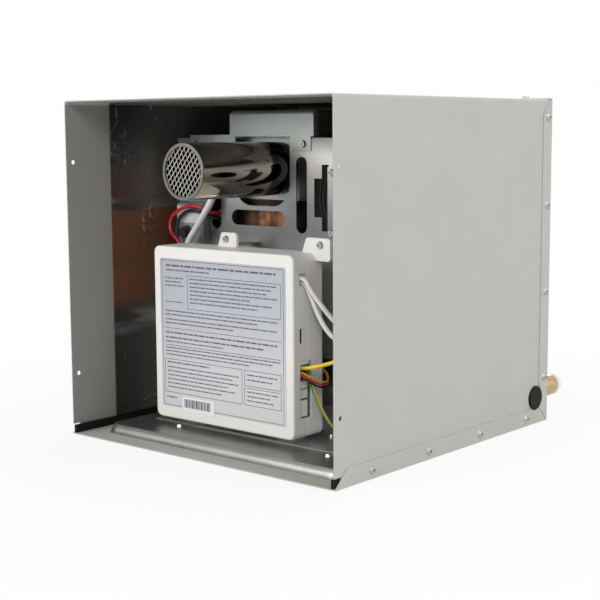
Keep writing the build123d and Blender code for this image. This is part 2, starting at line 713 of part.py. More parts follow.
def back_panel():
    """Rear sheet with mitred flanges over the wrap, and a hole for each fitting."""
    wide = CASE_WIDTH / 2
    panel = block(-wide, wide, BACK_IN, REAR, 0, CASE_HEIGHT)
    lip = REAR - FLANGE
    upright = [(REAR, 0), (REAR, CASE_HEIGHT), (lip, CASE_HEIGHT - FLANGE), (lip, FLANGE)]
    for x in (-wide, WALL_OUT):
        panel += prism(Plane.YZ.offset(x), upright, SHEET)
    level = [(-wide, REAR), (wide, REAR), (wide - FLANGE, lip), (FLANGE - wide, lip)]
    panel += prism(Plane.XY.offset(ROOF_OUT), level, SHEET)
    holes = case_screw_holes()
    for x, z, radius in ((COLD_X, COLD_Z, FITTING_R), (HOT_X, HOT_Z, FITTING_R), (GAS_X, GAS_Z, GAS_FITTING_R)):
        holes.append(rod((x, BACK_IN - OVERRUN, z), (x, REAR + OVERRUN, z), radius + PANEL_ROOM))
    return panel - holes - plug_rod(PLUG_R + PLUG_ROOM, WALL_OUT, WALL_OUT + OVERRUN)


def case_screws():
    """All screws of the case, each through two sheets."""
    return [screw(place, way, SHEET * 2) for place, way in case_screw_seats()]


def side_liners():
    """Foil-faced insulation on the two side walls."""
    rear = BACK_IN - SIDE_LINER_REAR_GAP
    foot = SHEET + SEAL_HEIGHT + SIDE_LINER_FOOT_GAP
    top = ROOF_IN - SIDE_LINER_TOP_GAP
    inner = WALL_IN - LINER
    return [block(x0, x0 + LINER, LINER_FRONT, rear, foot, top) for x0 in (-WALL_IN, inner)]


def top_liner():
    """Foil-faced insulation under the roof."""
    wide = TOP_LINER_WIDTH / 2
    return block(-wide, wide, LINER_FRONT, BACK_IN - TOP_LINER_REAR_GAP, ROOF_IN - LINER, ROOF_IN)


def edge_seals():
    """Black strips along the foot of the side walls."""
    front = FRONT + SEAL_INSET
    rear = BACK_IN - SEAL_REAR_GAP
    inner = WALL_IN - SEAL_WIDTH
    top = SHEET + SEAL_HEIGHT
    return [block(x0, x0 + SEAL_WIDTH, front, rear, SHEET, top) for x0 in (-WALL_IN, inner)]


def hole_plug():
    """Rubber plug: a head outside the right wall, a core through it and a barb inside."""
    head = plug_rod(PLUG_R, WALL_OUT, WALL_OUT + PLUG_HEAD)
    head = chamfer(head.faces().sort_by(Axis.X)[-1].edges(), PLUG_HEAD / 2)
    return head + plug_rod(PLUG_CORE_R, WALL_IN, WALL_OUT) + plug_rod(PLUG_BARB_R, WALL_IN - PLUG_BARB, WALL_IN)


def chassis_tray():
    """Pressed pan, open below, that carries the works clear of the floor."""
    width = TRAY_RIGHT - TRAY_LEFT
    middle = Pos((TRAY_LEFT + TRAY_RIGHT) / 2, TRAY_FRONT + TRAY_LENGTH / 2, SHEET)
    wall = TRAY_SHEET / math.cos(math.radians(TRAY_TAPER))
    pan = extrude(RectangleRounded(width, TRAY_LENGTH, TRAY_CORNER_R), amount=TRAY_HEIGHT, taper=TRAY_TAPER)
    inside = RectangleRounded(width - wall * 2, TRAY_LENGTH - wall * 2, TRAY_CORNER_R - wall)
    pan -= extrude(inside, amount=TRAY_HEIGHT - TRAY_SHEET, taper=TRAY_TAPER)
    return middle * pan - [screw_hole(place, way) for place, way, grip in chassis_screw_seats()]


def chassis_screw_seats():
    """Place, direction and grip of every screw on the tray and the plate."""
    down = (0, 0, -1)
    inward = (0, 1, 0)
    seats = [((x, TRAY_FRONT + TRAY_SCREW_SETBACK, TRAY_TOP), down, TRAY_SHEET) for x in TRAY_SCREW_X]
    foot_y = PLATE_Y - FOOT_SCREW_REACH
    seats += [((x, foot_y, FOOT_TOP), down, PLATE_SHEET + TRAY_SHEET) for x in FOOT_SCREW_X]
    eye = (LUG_EYE_X, PLATE_Y - LUG_EYE_REACH, FOOT_TOP + LUG_TONGUE)
    seats.append((eye, down, LUG_TONGUE + PLATE_SHEET + TRAY_SHEET))
    tab_y = PLATE_Y - HOOD_SHEET
    tab_z = HOOD_BOX_FOOT - TAB_SCREW_DROP
    seats += [((x, tab_y, tab_z), inward, HOOD_SHEET + PLATE_SHEET) for x in TAB_SCREW_X]
    for x in (BAFFLE_LEFT + BAFFLE_SCREW_INSET, BAFFLE_RIGHT - BAFFLE_SCREW_INSET):
        for z in (BAFFLE_FOOT + BAFFLE_SCREW_INSET, BAFFLE_FOOT + BAFFLE_HEIGHT - BAFFLE_SCREW_INSET):
            seats.append(((x, PLATE_Y - BAFFLE_SHEET, z), inward, BAFFLE_SHEET + PLATE_SHEET))
    seats += [((x, EAR_REAR - EAR_SHEET, EAR_SCREW_Z), inward, EAR_SHEET + PLATE_SHEET) for x in EAR_X]
    return seats


def chassis_screw_holes():
    """Cutters for all of the chassis screw holes."""
    return [screw_hole(place, way) for place, way, grip in chassis_screw_seats()]


def chassis_screws():
    """All screws of the chassis."""
    return [screw(place, way, grip) for place, way, grip in chassis_screw_seats()]


def plate_openings():
    """Cutters for the chassis plate's slots, notch and openings."""
    slot_z = CORE_TOP + SLOT_LIFT
    front = PLATE_Y - OVERRUN
    back = PLATE_BACK + OVERRUN
    cuts = [slot(SLOT_AXIS + x, slot_z, SLOT_WIDTH, SLOT_LENGTH) for x in (-SLOT_SPREAD, SLOT_SPREAD)]
    cuts.append(slot(SLOT_AXIS, CORE_MID, LEVEL_SLOT_WIDTH, LEVEL_SLOT_HEIGHT))
    notch_right = TUBE_X + TUBE_R + FLUE_NOTCH_ROOM
    notch_foot = TUBE_Z - TUBE_R - FLUE_NOTCH_DROP
    notch_top = PLATE_TOP + FLUE_NOTCH_R * 2
    cuts.append(rounded_block(FLUE_NOTCH_LEFT, notch_right, front, back, notch_foot, notch_top, FLUE_NOTCH_R))
    half = FAN_OPEN_HEIGHT / 2
    cuts.append(block(BLOWER_X - FAN_OPEN_WIDTH / 2, BLOWER_X, front, back, BLOWER_Z - half, BLOWER_Z + half))
    half = FAN_OPEN_NECK_HEIGHT / 2
    neck_left = BLOWER_X - FAN_OPEN_NECK_WIDTH / 2
    cuts.append(block(neck_left, BAFFLE_LEFT + FAN_OPEN_LAP, front, back, BLOWER_Z - half, BLOWER_Z + half))
    cuts.append(rod((BLOWER_X, front, BLOWER_Z), (BLOWER_X, back, BLOWER_Z), INLET_R + FAN_OPEN_ROOM))
    low_top = LOW_OPEN_FOOT + LOW_OPEN_HEIGHT
    cuts.append(rounded_block(LOW_OPEN_LEFT, LOW_OPEN_RIGHT, front, back, LOW_OPEN_FOOT, low_top, LOW_OPEN_R))
    cuts.append(rod((HOT_X, front, RELIEF_Z), (HOT_X, back, RELIEF_Z), BRANCH_R + BRANCH_ROOM))
    cuts.append(rod((OUTLET_X, front, VALVE_MID_Z), (OUTLET_X, back, VALVE_MID_Z), OUTLET_HOLE_R))
    return cuts


def chassis_plate():
    """Upright plate with its forward foot and the two lugs that hold the control box."""
    plate = block(PLATE_LEFT, PLATE_RIGHT, PLATE_Y, PLATE_BACK, TRAY_TOP, PLATE_TOP) - plate_openings()
    plate += block(-FOOT_WIDTH / 2, FOOT_WIDTH / 2, PLATE_Y - FOOT_LENGTH, PLATE_Y, TRAY_TOP, FOOT_TOP)
    for x in EAR_X:
        left = x - LUG_WIDTH / 2
        right = x + LUG_WIDTH / 2
        plate += block(left, right, EAR_REAR, PLATE_Y, LUG_FOOT, LUG_FOOT + PLATE_SHEET)
        plate += block(left, right, EAR_REAR, EAR_REAR + PLATE_SHEET, LUG_FOOT, LUG_FOOT + LUG_RISE)
    return plate - chassis_screw_holes()


def flue_hood():
    """Hood over the exchanger, with a raised box that reaches over the plate and two tabs screwed to it."""
    reach = PLATE_Y - HOOD_BOX_REACH
    hood = block(HOOD_BOX_LEFT, HOOD_BOX_RIGHT, reach, STACK_REAR, HOOD_BOX_FOOT, HOOD_BOX_TOP)
    hood = fillet(hood.edges().group_by(Axis.Z)[-1], HOOD_BOX_BEND)
    hood += block(STACK_LEFT, STACK_RIGHT, STACK_FRONT, STACK_REAR, CORE_TOP, HOOD_BOX_FOOT)
    front = STACK_FRONT + HOOD_SHEET
    rear = STACK_REAR - HOOD_SHEET
    left = STACK_LEFT + HOOD_SHEET
    right = STACK_RIGHT - HOOD_SHEET
    hood -= block(left, right, front, rear, CORE_TOP - OVERRUN, HOOD_BOX_FOOT - HOOD_SHEET)
    roof = HOOD_BOX_TOP - HOOD_SHEET
    hood -= block(HOOD_BOX_LEFT + HOOD_BOX_BEND, right - HOOD_BOX_BEND, front, rear, CORE_TOP, roof)
    hood -= block(HOOD_BOX_LEFT + HOOD_BOX_BEND, HOOD_BOX_RIGHT - HOOD_BOX_BEND, reach + HOOD_BOX_BEND, rear,
                  HOOD_BOX_FOOT + HOOD_SHEET, roof)
    tab_y = PLATE_Y - HOOD_SHEET
    tab_foot = HOOD_BOX_FOOT - TAB_DROP
    tab_top = HOOD_BOX_FOOT + TAB_OVERLAP
    hood += block(LEFT_TAB_LEFT, LEFT_TAB_RIGHT, tab_y, PLATE_Y, tab_foot, tab_top)
    hood += block(RIGHT_TAB_LEFT, RIGHT_TAB_RIGHT, tab_y, PLATE_Y, tab_foot, tab_top)
    hood -= rod((TUBE_X, STACK_FRONT - OVERRUN, TUBE_Z), (TUBE_X, front + OVERRUN, TUBE_Z), TUBE_R - TUBE_WALL)
    return hood - chassis_screw_holes()


def flue_rod(y0, y1, radius):
    """Round bar on the exhaust tube's axis."""
    return rod((TUBE_X, y0, TUBE_Z), (TUBE_X, y1, TUBE_Z), radius)


def exhaust_tube():
    """Polished tube from the hood to the open front, its mouth turned in."""
    inside = TUBE_R - TUBE_WALL
    tube = flue_rod(TUBE_FRONT, STACK_FRONT, TUBE_R) - flue_rod(TUBE_FRONT + LIP_LENGTH, STACK_FRONT, inside)
    tube -= flue_rod(TUBE_FRONT - OVERRUN, TUBE_FRONT + OVERRUN, inside - LIP_WIDTH)
    return fillet(tube.edges().group_by(Axis.Y)[0].sort_by(SortBy.LENGTH)[-1], LIP_LENGTH / 2)


def exhaust_screen():
    """Expanded-metal disc: staggered diamonds cut from one sheet behind the tube's lip."""
    radius = TUBE_R - TUBE_WALL - EASY_GAP
    clear = radius - SCREEN_RIM
    long_half = (MESH_LONG - MESH_STRAND * MESH_LONG / MESH_SHORT) / 2
    short_half = (MESH_SHORT - MESH_STRAND) / 2
    diamond = make_face(Polyline((-short_half, 0), (0, -long_half), (short_half, 0), (0, long_half), close=True))
    rows = int(radius / MESH_SHORT) * 2
    gaps = []
    for row in range(-rows, rows + 1):
        z = row * MESH_LONG / 2
        for column in range(-rows, rows + 1):
            x = (column + row % 2 / 2) * MESH_SHORT
            if math.hypot(x, z) < clear - short_half / 2:
                gaps.append(Pos(x, z) * diamond & Circle(clear))
    front = TUBE_FRONT + LIP_LENGTH + SCREEN_GAP
    place = Plane(origin=(TUBE_X, front, TUBE_Z), x_dir=(1, 0, 0), z_dir=(0, 1, 0))
    return extrude(place * (Circle(radius) - gaps), amount=SCREEN_SHEET, dir=(0, 1, 0))


def pass_rows():
    """Depths of the exchanger tube's passes, front to rear."""
    return [FIRST_PASS + PASS_PITCH * index for index in range(PASS_COUNT)]


def exchanger_shell():
    """Copper frame round the fins, open above and below."""
    shell = block(STACK_LEFT, STACK_RIGHT, STACK_FRONT, STACK_REAR, CHAMBER_TOP, CORE_TOP)
    shell -= block(STACK_LEFT + CORE_SHEET, STACK_RIGHT - CORE_SHEET, STACK_FRONT + CORE_SHEET,
                   STACK_REAR - CORE_SHEET, CHAMBER_TOP - OVERRUN, CORE_TOP + OVERRUN)
    start = STACK_LEFT - OVERRUN
    end = STACK_RIGHT + OVERRUN
    return shell - [rod((start, y, CORE_MID), (end, y, CORE_MID), WATER_TUBE_R + BRAZE_GAP) for y in pass_rows()]


def exchanger_fins():
    """Row of thin fins from wall to wall, each with a hole for every pass."""
    plane = Plane(origin=(0, (STACK_FRONT + STACK_REAR) / 2, CORE_MID), x_dir=(0, 1, 0), z_dir=(1, 0, 0))
    holes = [Pos(y, 0) * Circle(WATER_TUBE_R + BRAZE_GAP) for y in centred(PASS_COUNT, PASS_PITCH)]
    face = plane * (Rectangle(STACK_DEPTH - CORE_SHEET * 2, FIN_RISE) - holes)
    fin = extrude(face, amount=FIN_SHEET / 2, both=True)
    pitch = (STACK_RIGHT - STACK_LEFT) / (FIN_COUNT + 1)
    middle = (STACK_LEFT + STACK_RIGHT) / 2
    return [Pos(middle + x, 0, 0) * fin for x in centred(FIN_COUNT, pitch)]


def exchanger_tube():
    """One copper tube: up from the coil, then to and fro through the fins."""
    turn_left = STACK_LEFT - PASS_STUB - PASS_PITCH / 2
    turn_right = STACK_RIGHT + PASS_STUB + PASS_PITCH / 2
    riser = STACK_RIGHT + RISER_OUT
    rows = pass_rows()
    points = [(COIL_RIGHT, COIL_JOIN_Y, COIL_END), (COIL_RIGHT, COIL_JOIN_Y - COIL_JOIN_STUB, COIL_END),
              (riser, rows[0], COIL_END), (riser, rows[0], CORE_MID)]
    radii = [COIL_JOIN_STUB, RISER_BEND_R, RISER_BEND_R]
    for index, (y, next_y) in enumerate(zip(rows, rows[1:])):
        turn = turn_left if index % 2 == 0 else turn_right
        points += [(turn, y, CORE_MID), (turn, next_y, CORE_MID)]
        radii += [PASS_PITCH * UBEND_SHARE] * 2
    points.append((CORE_END, rows[-1], CORE_MID))
    return swept(points, radii, WATER_TUBE_R)


def chamber_shell():
    """Copper walls of the combustion chamber."""
    corner = COIL_BEND_R - WATER_TUBE_R - COIL_GAP
    shell = block(STACK_LEFT, STACK_RIGHT, STACK_FRONT, STACK_REAR, BURNER_TOP, CHAMBER_TOP)
    shell = fillet(shell.edges().filter_by(Axis.Z), corner)
    room = block(STACK_LEFT + CHAMBER_SHEET, STACK_RIGHT - CHAMBER_SHEET, STACK_FRONT + CHAMBER_SHEET,
                 STACK_REAR - CHAMBER_SHEET, BURNER_TOP - OVERRUN, CHAMBER_TOP + OVERRUN)
    return shell - fillet(room.edges().filter_by(Axis.Z), corner - CHAMBER_SHEET)


def chamber_coil():
    """Copper tube wound round the chamber, climbing on three sides of each turn."""
    points = [(COIL_RIGHT, COIL_JOIN_Y, COIL_FOOT)]
    climb = COIL_PITCH / 3
    for turn in range(COIL_TURN_COUNT):
        z = COIL_FOOT + COIL_PITCH * turn
        points += [(COIL_RIGHT, COIL_FRONT, z), (COIL_LEFT, COIL_FRONT, z + climb),
                   (COIL_LEFT, COIL_REAR, z + climb * 2), (COIL_RIGHT, COIL_REAR, z + COIL_PITCH)]
    points.append((COIL_RIGHT, COIL_JOIN_Y, COIL_END))
    return swept(points, [COIL_BEND_R] * (len(points) - 2), WATER_TUBE_R)


def bar_rows():
    """Places of the burner bars from left to right."""
    middle = (STACK_LEFT + STACK_RIGHT) / 2
    return [middle + x for x in centred(BAR_COUNT, BAR_PITCH)]


def electrode_rows():
    """Heights of the electrode rods and their leads."""
    return [ELECTRODE_Z + z for z in centred(SENSE_LEAD_COUNT, SENSE_PITCH)]


def electrode_rods(radius):
    """Bars on the electrode rods' axes, from the block into the burner box."""
    end = STACK_FRONT + ELECTRODE_ROD_REACH
    rows = [ELECTRODE_X + x for x in centred(SENSE_LEAD_COUNT, ELECTRODE_PITCH)]
    return [rod((x, STACK_FRONT - radius, ELECTRODE_Z), (x, end, ELECTRODE_Z), radius) for x in rows]


def burner_box():
    """Open-topped box round the burner bars, with jet holes and an air inlet."""
    box = block(STACK_LEFT, STACK_RIGHT, STACK_FRONT, STACK_REAR, TRAY_TOP, BURNER_TOP)
    box -= block(STACK_LEFT + BURNER_SHEET, STACK_RIGHT - BURNER_SHEET, STACK_FRONT + BURNER_SHEET,
                 STACK_REAR - BURNER_SHEET, TRAY_TOP + BURNER_SHEET, BURNER_TOP + OVERRUN)
    for x in bar_rows():
        box -= rod((x, STACK_FRONT - OVERRUN, JET_Z), (x, STACK_FRONT + OVERRUN, JET_Z), JET_HOLE_R)
    box -= block(STACK_RIGHT - OVERRUN, STACK_RIGHT + OVERRUN, STACK_FRONT + OVERRUN, DUCT_REAR - DUCT_WALL,
                 DUCT_LOW + DUCT_WALL, DUCT_LOW + DUCT_LEG_HEIGHT - DUCT_WALL)
    return box - electrode_rods(ELECTRODE_ROD_R + BRAZE_GAP)


def burner_bars():
    """Upright bars with flame ports along the top and a mixing throat in front of each jet."""
    front = STACK_FRONT + BURNER_SHEET + BAR_END_GAP
    length = STACK_DEPTH - BURNER_SHEET * 2 - BAR_END_GAP * 2
    foot = TRAY_TOP + BURNER_SHEET
    half = BAR_WIDTH / 2
    crown = BAR_TOP_WIDTH / 2
    outline = [(-half, 0), (half, 0), (half, BAR_HEIGHT / 2), (crown, BAR_HEIGHT), (-crown, BAR_HEIGHT),
               (-half, BAR_HEIGHT / 2)]
    plane = Plane(origin=(0, front, foot), x_dir=(1, 0, 0), z_dir=(0, -1, 0))
    bar = extrude(plane * make_face(Polyline(*outline, close=True)), amount=length, dir=(0, 1, 0))
    top = foot + BAR_HEIGHT
    for y in centred(PORT_COUNT, length / PORT_COUNT):
        middle = front + length / 2 + y
        port = PORT_WIDTH / 2
        bar -= block(-half, half, middle - port, middle + port, top - PORT_DEPTH, top + OVERRUN)
    bar -= rod((0, front - OVERRUN, JET_Z), (0, front + THROAT_DEPTH, JET_Z), THROAT_R)
    return [Pos(x, 0, 0) * bar for x in bar_rows()]


def gas_manifold():
    """Pipe from the gas valve to a row of jets along the burner box."""
    rows = bar_rows()
    points = [(OUTLET_X, VALVE_REAR, VALVE_MID_Z), (OUTLET_X, MANIFOLD_Y, VALVE_MID_Z),
              (OUTLET_X, MANIFOLD_Y, JET_Z), (rows[0] - MANIFOLD_OVERHANG, MANIFOLD_Y, JET_Z)]
    pipe = swept(points, [MANIFOLD_BEND_R] * 2, MANIFOLD_R)
    for x in rows:
        pipe += rod((x, MANIFOLD_Y, JET_Z), (x, STACK_FRONT, JET_Z), JET_COLLAR_R)
        pipe += rod((x, MANIFOLD_Y, JET_Z), (x, STACK_FRONT + JET_REACH, JET_Z), JET_R)
    return pipe


def electrode_block():
    """Ceramic block on the burner box with its spark and flame rods."""
    wide = ELECTRODE_WIDTH / 2
    tall = ELECTRODE_HEIGHT / 2
    body = block(ELECTRODE_X - wide, ELECTRODE_X + wide, STACK_FRONT - ELECTRODE_DEPTH, STACK_FRONT,
                 ELECTRODE_Z - tall, ELECTRODE_Z + tall)
    for rod_form in electrode_rods(ELECTRODE_ROD_R):
        body += rod_form
    return body


def gas_valve():
    """Valve body on the plate: inlet boss below, pads behind and a pressure tap on its left side."""
    body = block(VALVE_LEFT, VALVE_RIGHT, VALVE_FRONT, VALVE_REAR, VALVE_FOOT, VALVE_TOP)
    body = chamfer(body.edges().filter_by(Axis.Z), VALVE_EDGE)
    for z in (VALVE_FOOT + VALVE_PAD_R * 2, VALVE_TOP - VALVE_PAD_R * 2):
        x = VALVE_RIGHT - VALVE_PAD_R * 2
        body += rod((x, VALVE_REAR, z), (x, PLATE_Y, z), VALVE_PAD_R)
    body += rod((GAS_X, VALVE_MID_Y, VALVE_FOOT - VALVE_BOSS), (GAS_X, VALVE_MID_Y, VALVE_FOOT), VALVE_BOSS_R)
    z = VALVE_TOP - TAP_DROP
    tip = VALVE_LEFT - TAP_LENGTH
    body += rod((tip, VALVE_MID_Y, z), (VALVE_LEFT, VALVE_MID_Y, z), TAP_R)
    return body + rod((tip, VALVE_MID_Y, z), (tip + TAP_HEAD, VALVE_MID_Y, z), TAP_HEAD_R)


def solenoid_coils():
    """Two coils on the valve, each with a terminal block in front and a yoke strip on top."""
    coils = []
    for x in SOLENOID_X:
        coil = rod((x, VALVE_MID_Y, VALVE_TOP), (x, VALVE_MID_Y, SOLENOID_TOP - YOKE_SHEET), SOLENOID_R)
        wide = TERMINAL_WIDTH / 2
        coil += block(x - wide, x + wide, TERMINAL_Y, VALVE_MID_Y, VALVE_TOP, VALVE_TOP + TERMINAL_HEIGHT)
        coil += block(x - TERMINAL_WIDTH, x + TERMINAL_WIDTH, VALVE_MID_Y - SOLENOID_R, VALVE_MID_Y + SOLENOID_R,
                      SOLENOID_TOP - YOKE_SHEET, SOLENOID_TOP)
        bore = rod((x, VALVE_MID_Y, VALVE_TOP), (x, VALVE_MID_Y, SOLENOID_TOP), PLUNGER_R + PLUNGER_GAP)
        coils.append(coil - bore)
    return coils


def plunger(x):
    """Plunger standing on the valve inside a coil, its tip showing above."""
    shoulder = VALVE_TOP + PLUNGER_LENGTH
    body = rod((x, VALVE_MID_Y, VALVE_TOP), (x, VALVE_MID_Y, shoulder), PLUNGER_R)
    return body + rod((x, VALVE_MID_Y, shoulder), (x, VALVE_MID_Y, shoulder + PLUNGER_TIP), PLUNGER_TIP_R)


def gas_pipe():
    """Pipe from the rear fitting, through the low opening and up into the valve."""
    points = [(GAS_X, FITTING_INNER, GAS_Z), (GAS_X, VALVE_MID_Y, GAS_Z),
              (GAS_X, VALVE_MID_Y, VALVE_FOOT - VALVE_BOSS)]
    return swept(points, [GAS_PIPE_BEND_R], GAS_PIPE_R)


def fitting(x, z, flats, radius, bore_radius, reach):
    """Rear fitting with a hexagon shoulder inside the back panel and a relief groove before its thread."""
    shoulder = BACK_IN - HEX_LENGTH
    thread = BACK_IN + THREAD_RELIEF
    body = rod((x, FITTING_INNER, z), (x, BACK_IN, z), radius)
    body += rod((x, BACK_IN, z), (x, thread, z), radius - THREAD_RELIEF_DEPTH)
    body += rod((x, thread, z), (x, REAR + reach, z), radius)
    body += hexagon(x, z, shoulder, BACK_IN, flats)
    return body - rod((x, FITTING_INNER, z), (x, REAR + reach, z), bore_radius)


def gas_fitting():
    """Flare fitting with a cone-shaped nose."""
    nose = REAR + GAS_FITTING_REACH
    body = fitting(GAS_X, GAS_Z, GAS_HEX, GAS_FITTING_R, GAS_FITTING_BORE_R, GAS_FITTING_REACH)
    tip = rod((GAS_X, nose, GAS_Z), (GAS_X, nose + GAS_NOSE, GAS_Z), GAS_FITTING_R, GAS_NOSE_R)
    return body + (tip - rod((GAS_X, nose, GAS_Z), (GAS_X, nose + GAS_NOSE, GAS_Z), GAS_FITTING_BORE_R))


def cold_fitting():
    """Brass inlet fitting on the back."""
    return fitting(COLD_X, COLD_Z, HEX, FITTING_R, FITTING_BORE_R, FITTING_REACH)


def hot_fitting():
    """Brass outlet fitting on the back."""
    return fitting(HOT_X, HOT_Z, HEX, FITTING_R, FITTING_BORE_R, FITTING_REACH)


def cold_cap():
    """Clear dome cap pushed over the inlet fitting."""
    tip = REAR + FITTING_REACH
    inside = FITTING_R + CAP_GAP
    cap = rod((COLD_X, tip - CAP_LENGTH, COLD_Z), (COLD_X, tip + CAP_DOME, COLD_Z), inside + CAP_WALL)
    cap = fillet(cap.edges().group_by(Axis.Y)[-1], CAP_DOME)
    return cap - rod((COLD_X, tip - CAP_LENGTH, COLD_Z), (COLD_X, tip, COLD_Z), inside)


def sensor_rod(y0, y1, radius):
    """Round bar on the flow sensor's axis."""
    return rod((COLD_X, y0, COLD_Z), (COLD_X, y1, COLD_Z), radius)


def flow_sensor():
    """Meter body behind the inlet fitting, with two spiders, the turbine's axle and the pick-up on top."""
    bore_front = SENSOR_FRONT + SENSOR_RIB
    body = sensor_rod(SENSOR_FRONT, FITTING_INNER, SENSOR_R)
    wide = PICKUP_SIZE / 2
    middle = (SENSOR_FRONT + FITTING_INNER) / 2
    body += block(COLD_X - wide, COLD_X + wide, middle - PICKUP_SIZE, middle + PICKUP_SIZE,
                  COLD_Z, COLD_Z + SENSOR_R + PICKUP_SIZE)
    body -= sensor_rod(SENSOR_FRONT, bore_front, WATER_TUBE_R - BRAZE_GAP)
    body -= sensor_rod(bore_front, FITTING_INNER, SENSOR_BORE_R)
    first, last = spider_rows()
    for y in (first, last):
        half = SPIDER_SHEET / 2
        room = sensor_rod(y - half, y + half, SENSOR_BORE_R)
        level = block(COLD_X - SENSOR_R, COLD_X + SENSOR_R, y - half, y + half, COLD_Z - half, COLD_Z + half)
        upright = block(COLD_X - half, COLD_X + half, y - half, y + half, COLD_Z - SENSOR_R, COLD_Z + SENSOR_R)
        body += room & (level + upright)
    return body + sensor_rod(first, last, AXLE_R)


def spider_rows():
    """Depths of the two spiders that hold the turbine's axle."""
    first = SENSOR_FRONT + SPIDER_INSET
    return first, first + SPIDER_SHEET + TURBINE_LENGTH + EASY_GAP * 2


def flow_turbine():
    """Turbine with leaning blades, free on the sensor's axle."""
    first, last = spider_rows()
    middle = (first + last) / 2
    half = TURBINE_LENGTH / 2
    wheel = sensor_rod(middle - half, middle + half, TURBINE_HUB_R)
    blade = Box(TURBINE_R, TURBINE_LENGTH, TURBINE_BLADE, align=(Align.MIN, Align.CENTER, Align.CENTER))
    room = sensor_rod(middle - half, middle + half, TURBINE_R)
    for index in range(TURBINE_BLADE_COUNT):
        turn = Rot(0, 360 * index / TURBINE_BLADE_COUNT, 0)
        wheel += Pos(COLD_X, middle, COLD_Z) * turn * Rot(TURBINE_TWIST, 0, 0) * blade & room
    return wheel - sensor_rod(middle - half, middle + half, AXLE_R + RUN_GAP)


def cold_pipe():
    """Tube from the flow sensor, up and across to the chamber coil."""
    turn = COIL_JOIN_Y + (SENSOR_FRONT - COIL_JOIN_Y) * COLD_TURN_SHARE
    points = [(COLD_X, SENSOR_FRONT, COLD_Z), (COLD_X, turn, COLD_Z), (COLD_X, turn, COIL_FOOT),
              (COIL_RIGHT, turn, COIL_FOOT), (COIL_RIGHT, COIL_JOIN_Y, COIL_FOOT)]
    return swept(points, pipe_bends(points), WATER_TUBE_R)


def hot_pipe():
    """Tube from the exchanger to the outlet fitting, with a branch to the relief valve brazed in."""
    points = [(CORE_END, HOT_PIPE_Y, CORE_MID), (HOT_X, HOT_PIPE_Y, CORE_MID), (HOT_X, HOT_PIPE_Y, HOT_Z),
              (HOT_X, FITTING_INNER, HOT_Z)]
    pipe = swept(points, pipe_bends(points), WATER_TUBE_R)
    return pipe + rod((HOT_X, PLATE_Y, RELIEF_Z), (HOT_X, HOT_PIPE_Y, RELIEF_Z), BRANCH_R)


def relief_rod(y0, y1, radius):
    """Round bar on the relief valve's axis."""
    return rod((HOT_X, y0, RELIEF_Z), (HOT_X, y1, RELIEF_Z), radius)


def relief_valve():
    """Brass valve on the plate with a flange, a bonnet and a drain that points down."""
    body = relief_rod(RELIEF_FRONT, PLATE_Y, RELIEF_R)
    body += relief_rod(PLATE_Y - RELIEF_FLANGE, PLATE_Y, RELIEF_FLANGE_R)
    body += relief_rod(BONNET_FRONT, RELIEF_FRONT, RELIEF_BONNET_R)
    y = PLATE_Y - DRAIN_FROM_PLATE
    body += rod((HOT_X, y, RELIEF_Z - RELIEF_R - DRAIN_LENGTH), (HOT_X, y, RELIEF_Z), DRAIN_R)
    body -= rod((HOT_X, y, RELIEF_Z - RELIEF_R - DRAIN_LENGTH), (HOT_X, y, RELIEF_Z - RELIEF_R), DRAIN_R / 2)
    return body - relief_rod(BONNET_FRONT, BONNET_FRONT + STEM_DEPTH, STEM_R + PLUNGER_GAP)


def relief_stem():
    """Stem that the lever pulls out of the valve, with an eye for the lever's pin."""
    stem = relief_rod(EYE_Y, BONNET_FRONT + STEM_DEPTH, STEM_R)
    half = EYE_SHEET / 2
    stem += rod((HOT_X - half, EYE_Y, RELIEF_Z), (HOT_X + half, EYE_Y, RELIEF_Z), EYE_R)
    stem &= block(HOT_X - STEM_R, HOT_X + STEM_R, EYE_Y - EYE_R, BONNET_FRONT + STEM_DEPTH,
                  RELIEF_Z - EYE_R, RELIEF_Z + EYE_R)
    flat_end = BONNET_FRONT + STEM_TRAVEL + EASY_GAP
    for x0, x1 in ((HOT_X - EYE_R, HOT_X - half), (HOT_X + half, HOT_X + EYE_R)):
        stem -= block(x0, x1, EYE_Y - EYE_R, flat_end, RELIEF_Z - EYE_R, RELIEF_Z + EYE_R)
    return stem - rod((HOT_X - EYE_R, EYE_Y, RELIEF_Z), (HOT_X + EYE_R, EYE_Y, RELIEF_Z), PIN_R + RUN_GAP)


def relief_lever():
    """Lever on the stem's eye: two eccentric cheeks that ride on the bonnet, a pin and a blade."""
    inner = EYE_SHEET / 2 + CHEEK_GAP
    outer = inner + CHEEK_SHEET
    lever = rod((HOT_X - outer, EYE_Y, RELIEF_Z), (HOT_X + outer, EYE_Y, RELIEF_Z), PIN_R)
    cam_z = RELIEF_Z - CAM_OFFSET
    for x0, x1 in ((HOT_X - outer, HOT_X - inner), (HOT_X + inner, HOT_X + outer)):
        lever += rod((x0, EYE_Y, cam_z), (x1, EYE_Y, cam_z), STEM_REACH - CAM_GAP)
    wide = LEVER_WIDTH / 2
    half = LEVER_SHEET / 2
    blade = rounded_block(HOT_X - wide, HOT_X + wide, EYE_Y - half, EYE_Y + half, RELIEF_Z + LEVER_CLEAR,
                          RELIEF_Z + LEVER_LENGTH, LEVER_SHEET)
    return lever + blade


def fan_rod(y0, y1, radius):
    """Round bar on the blower's axis."""
    return rod((BLOWER_X, y0, BLOWER_Z), (BLOWER_X, y1, BLOWER_Z), radius)


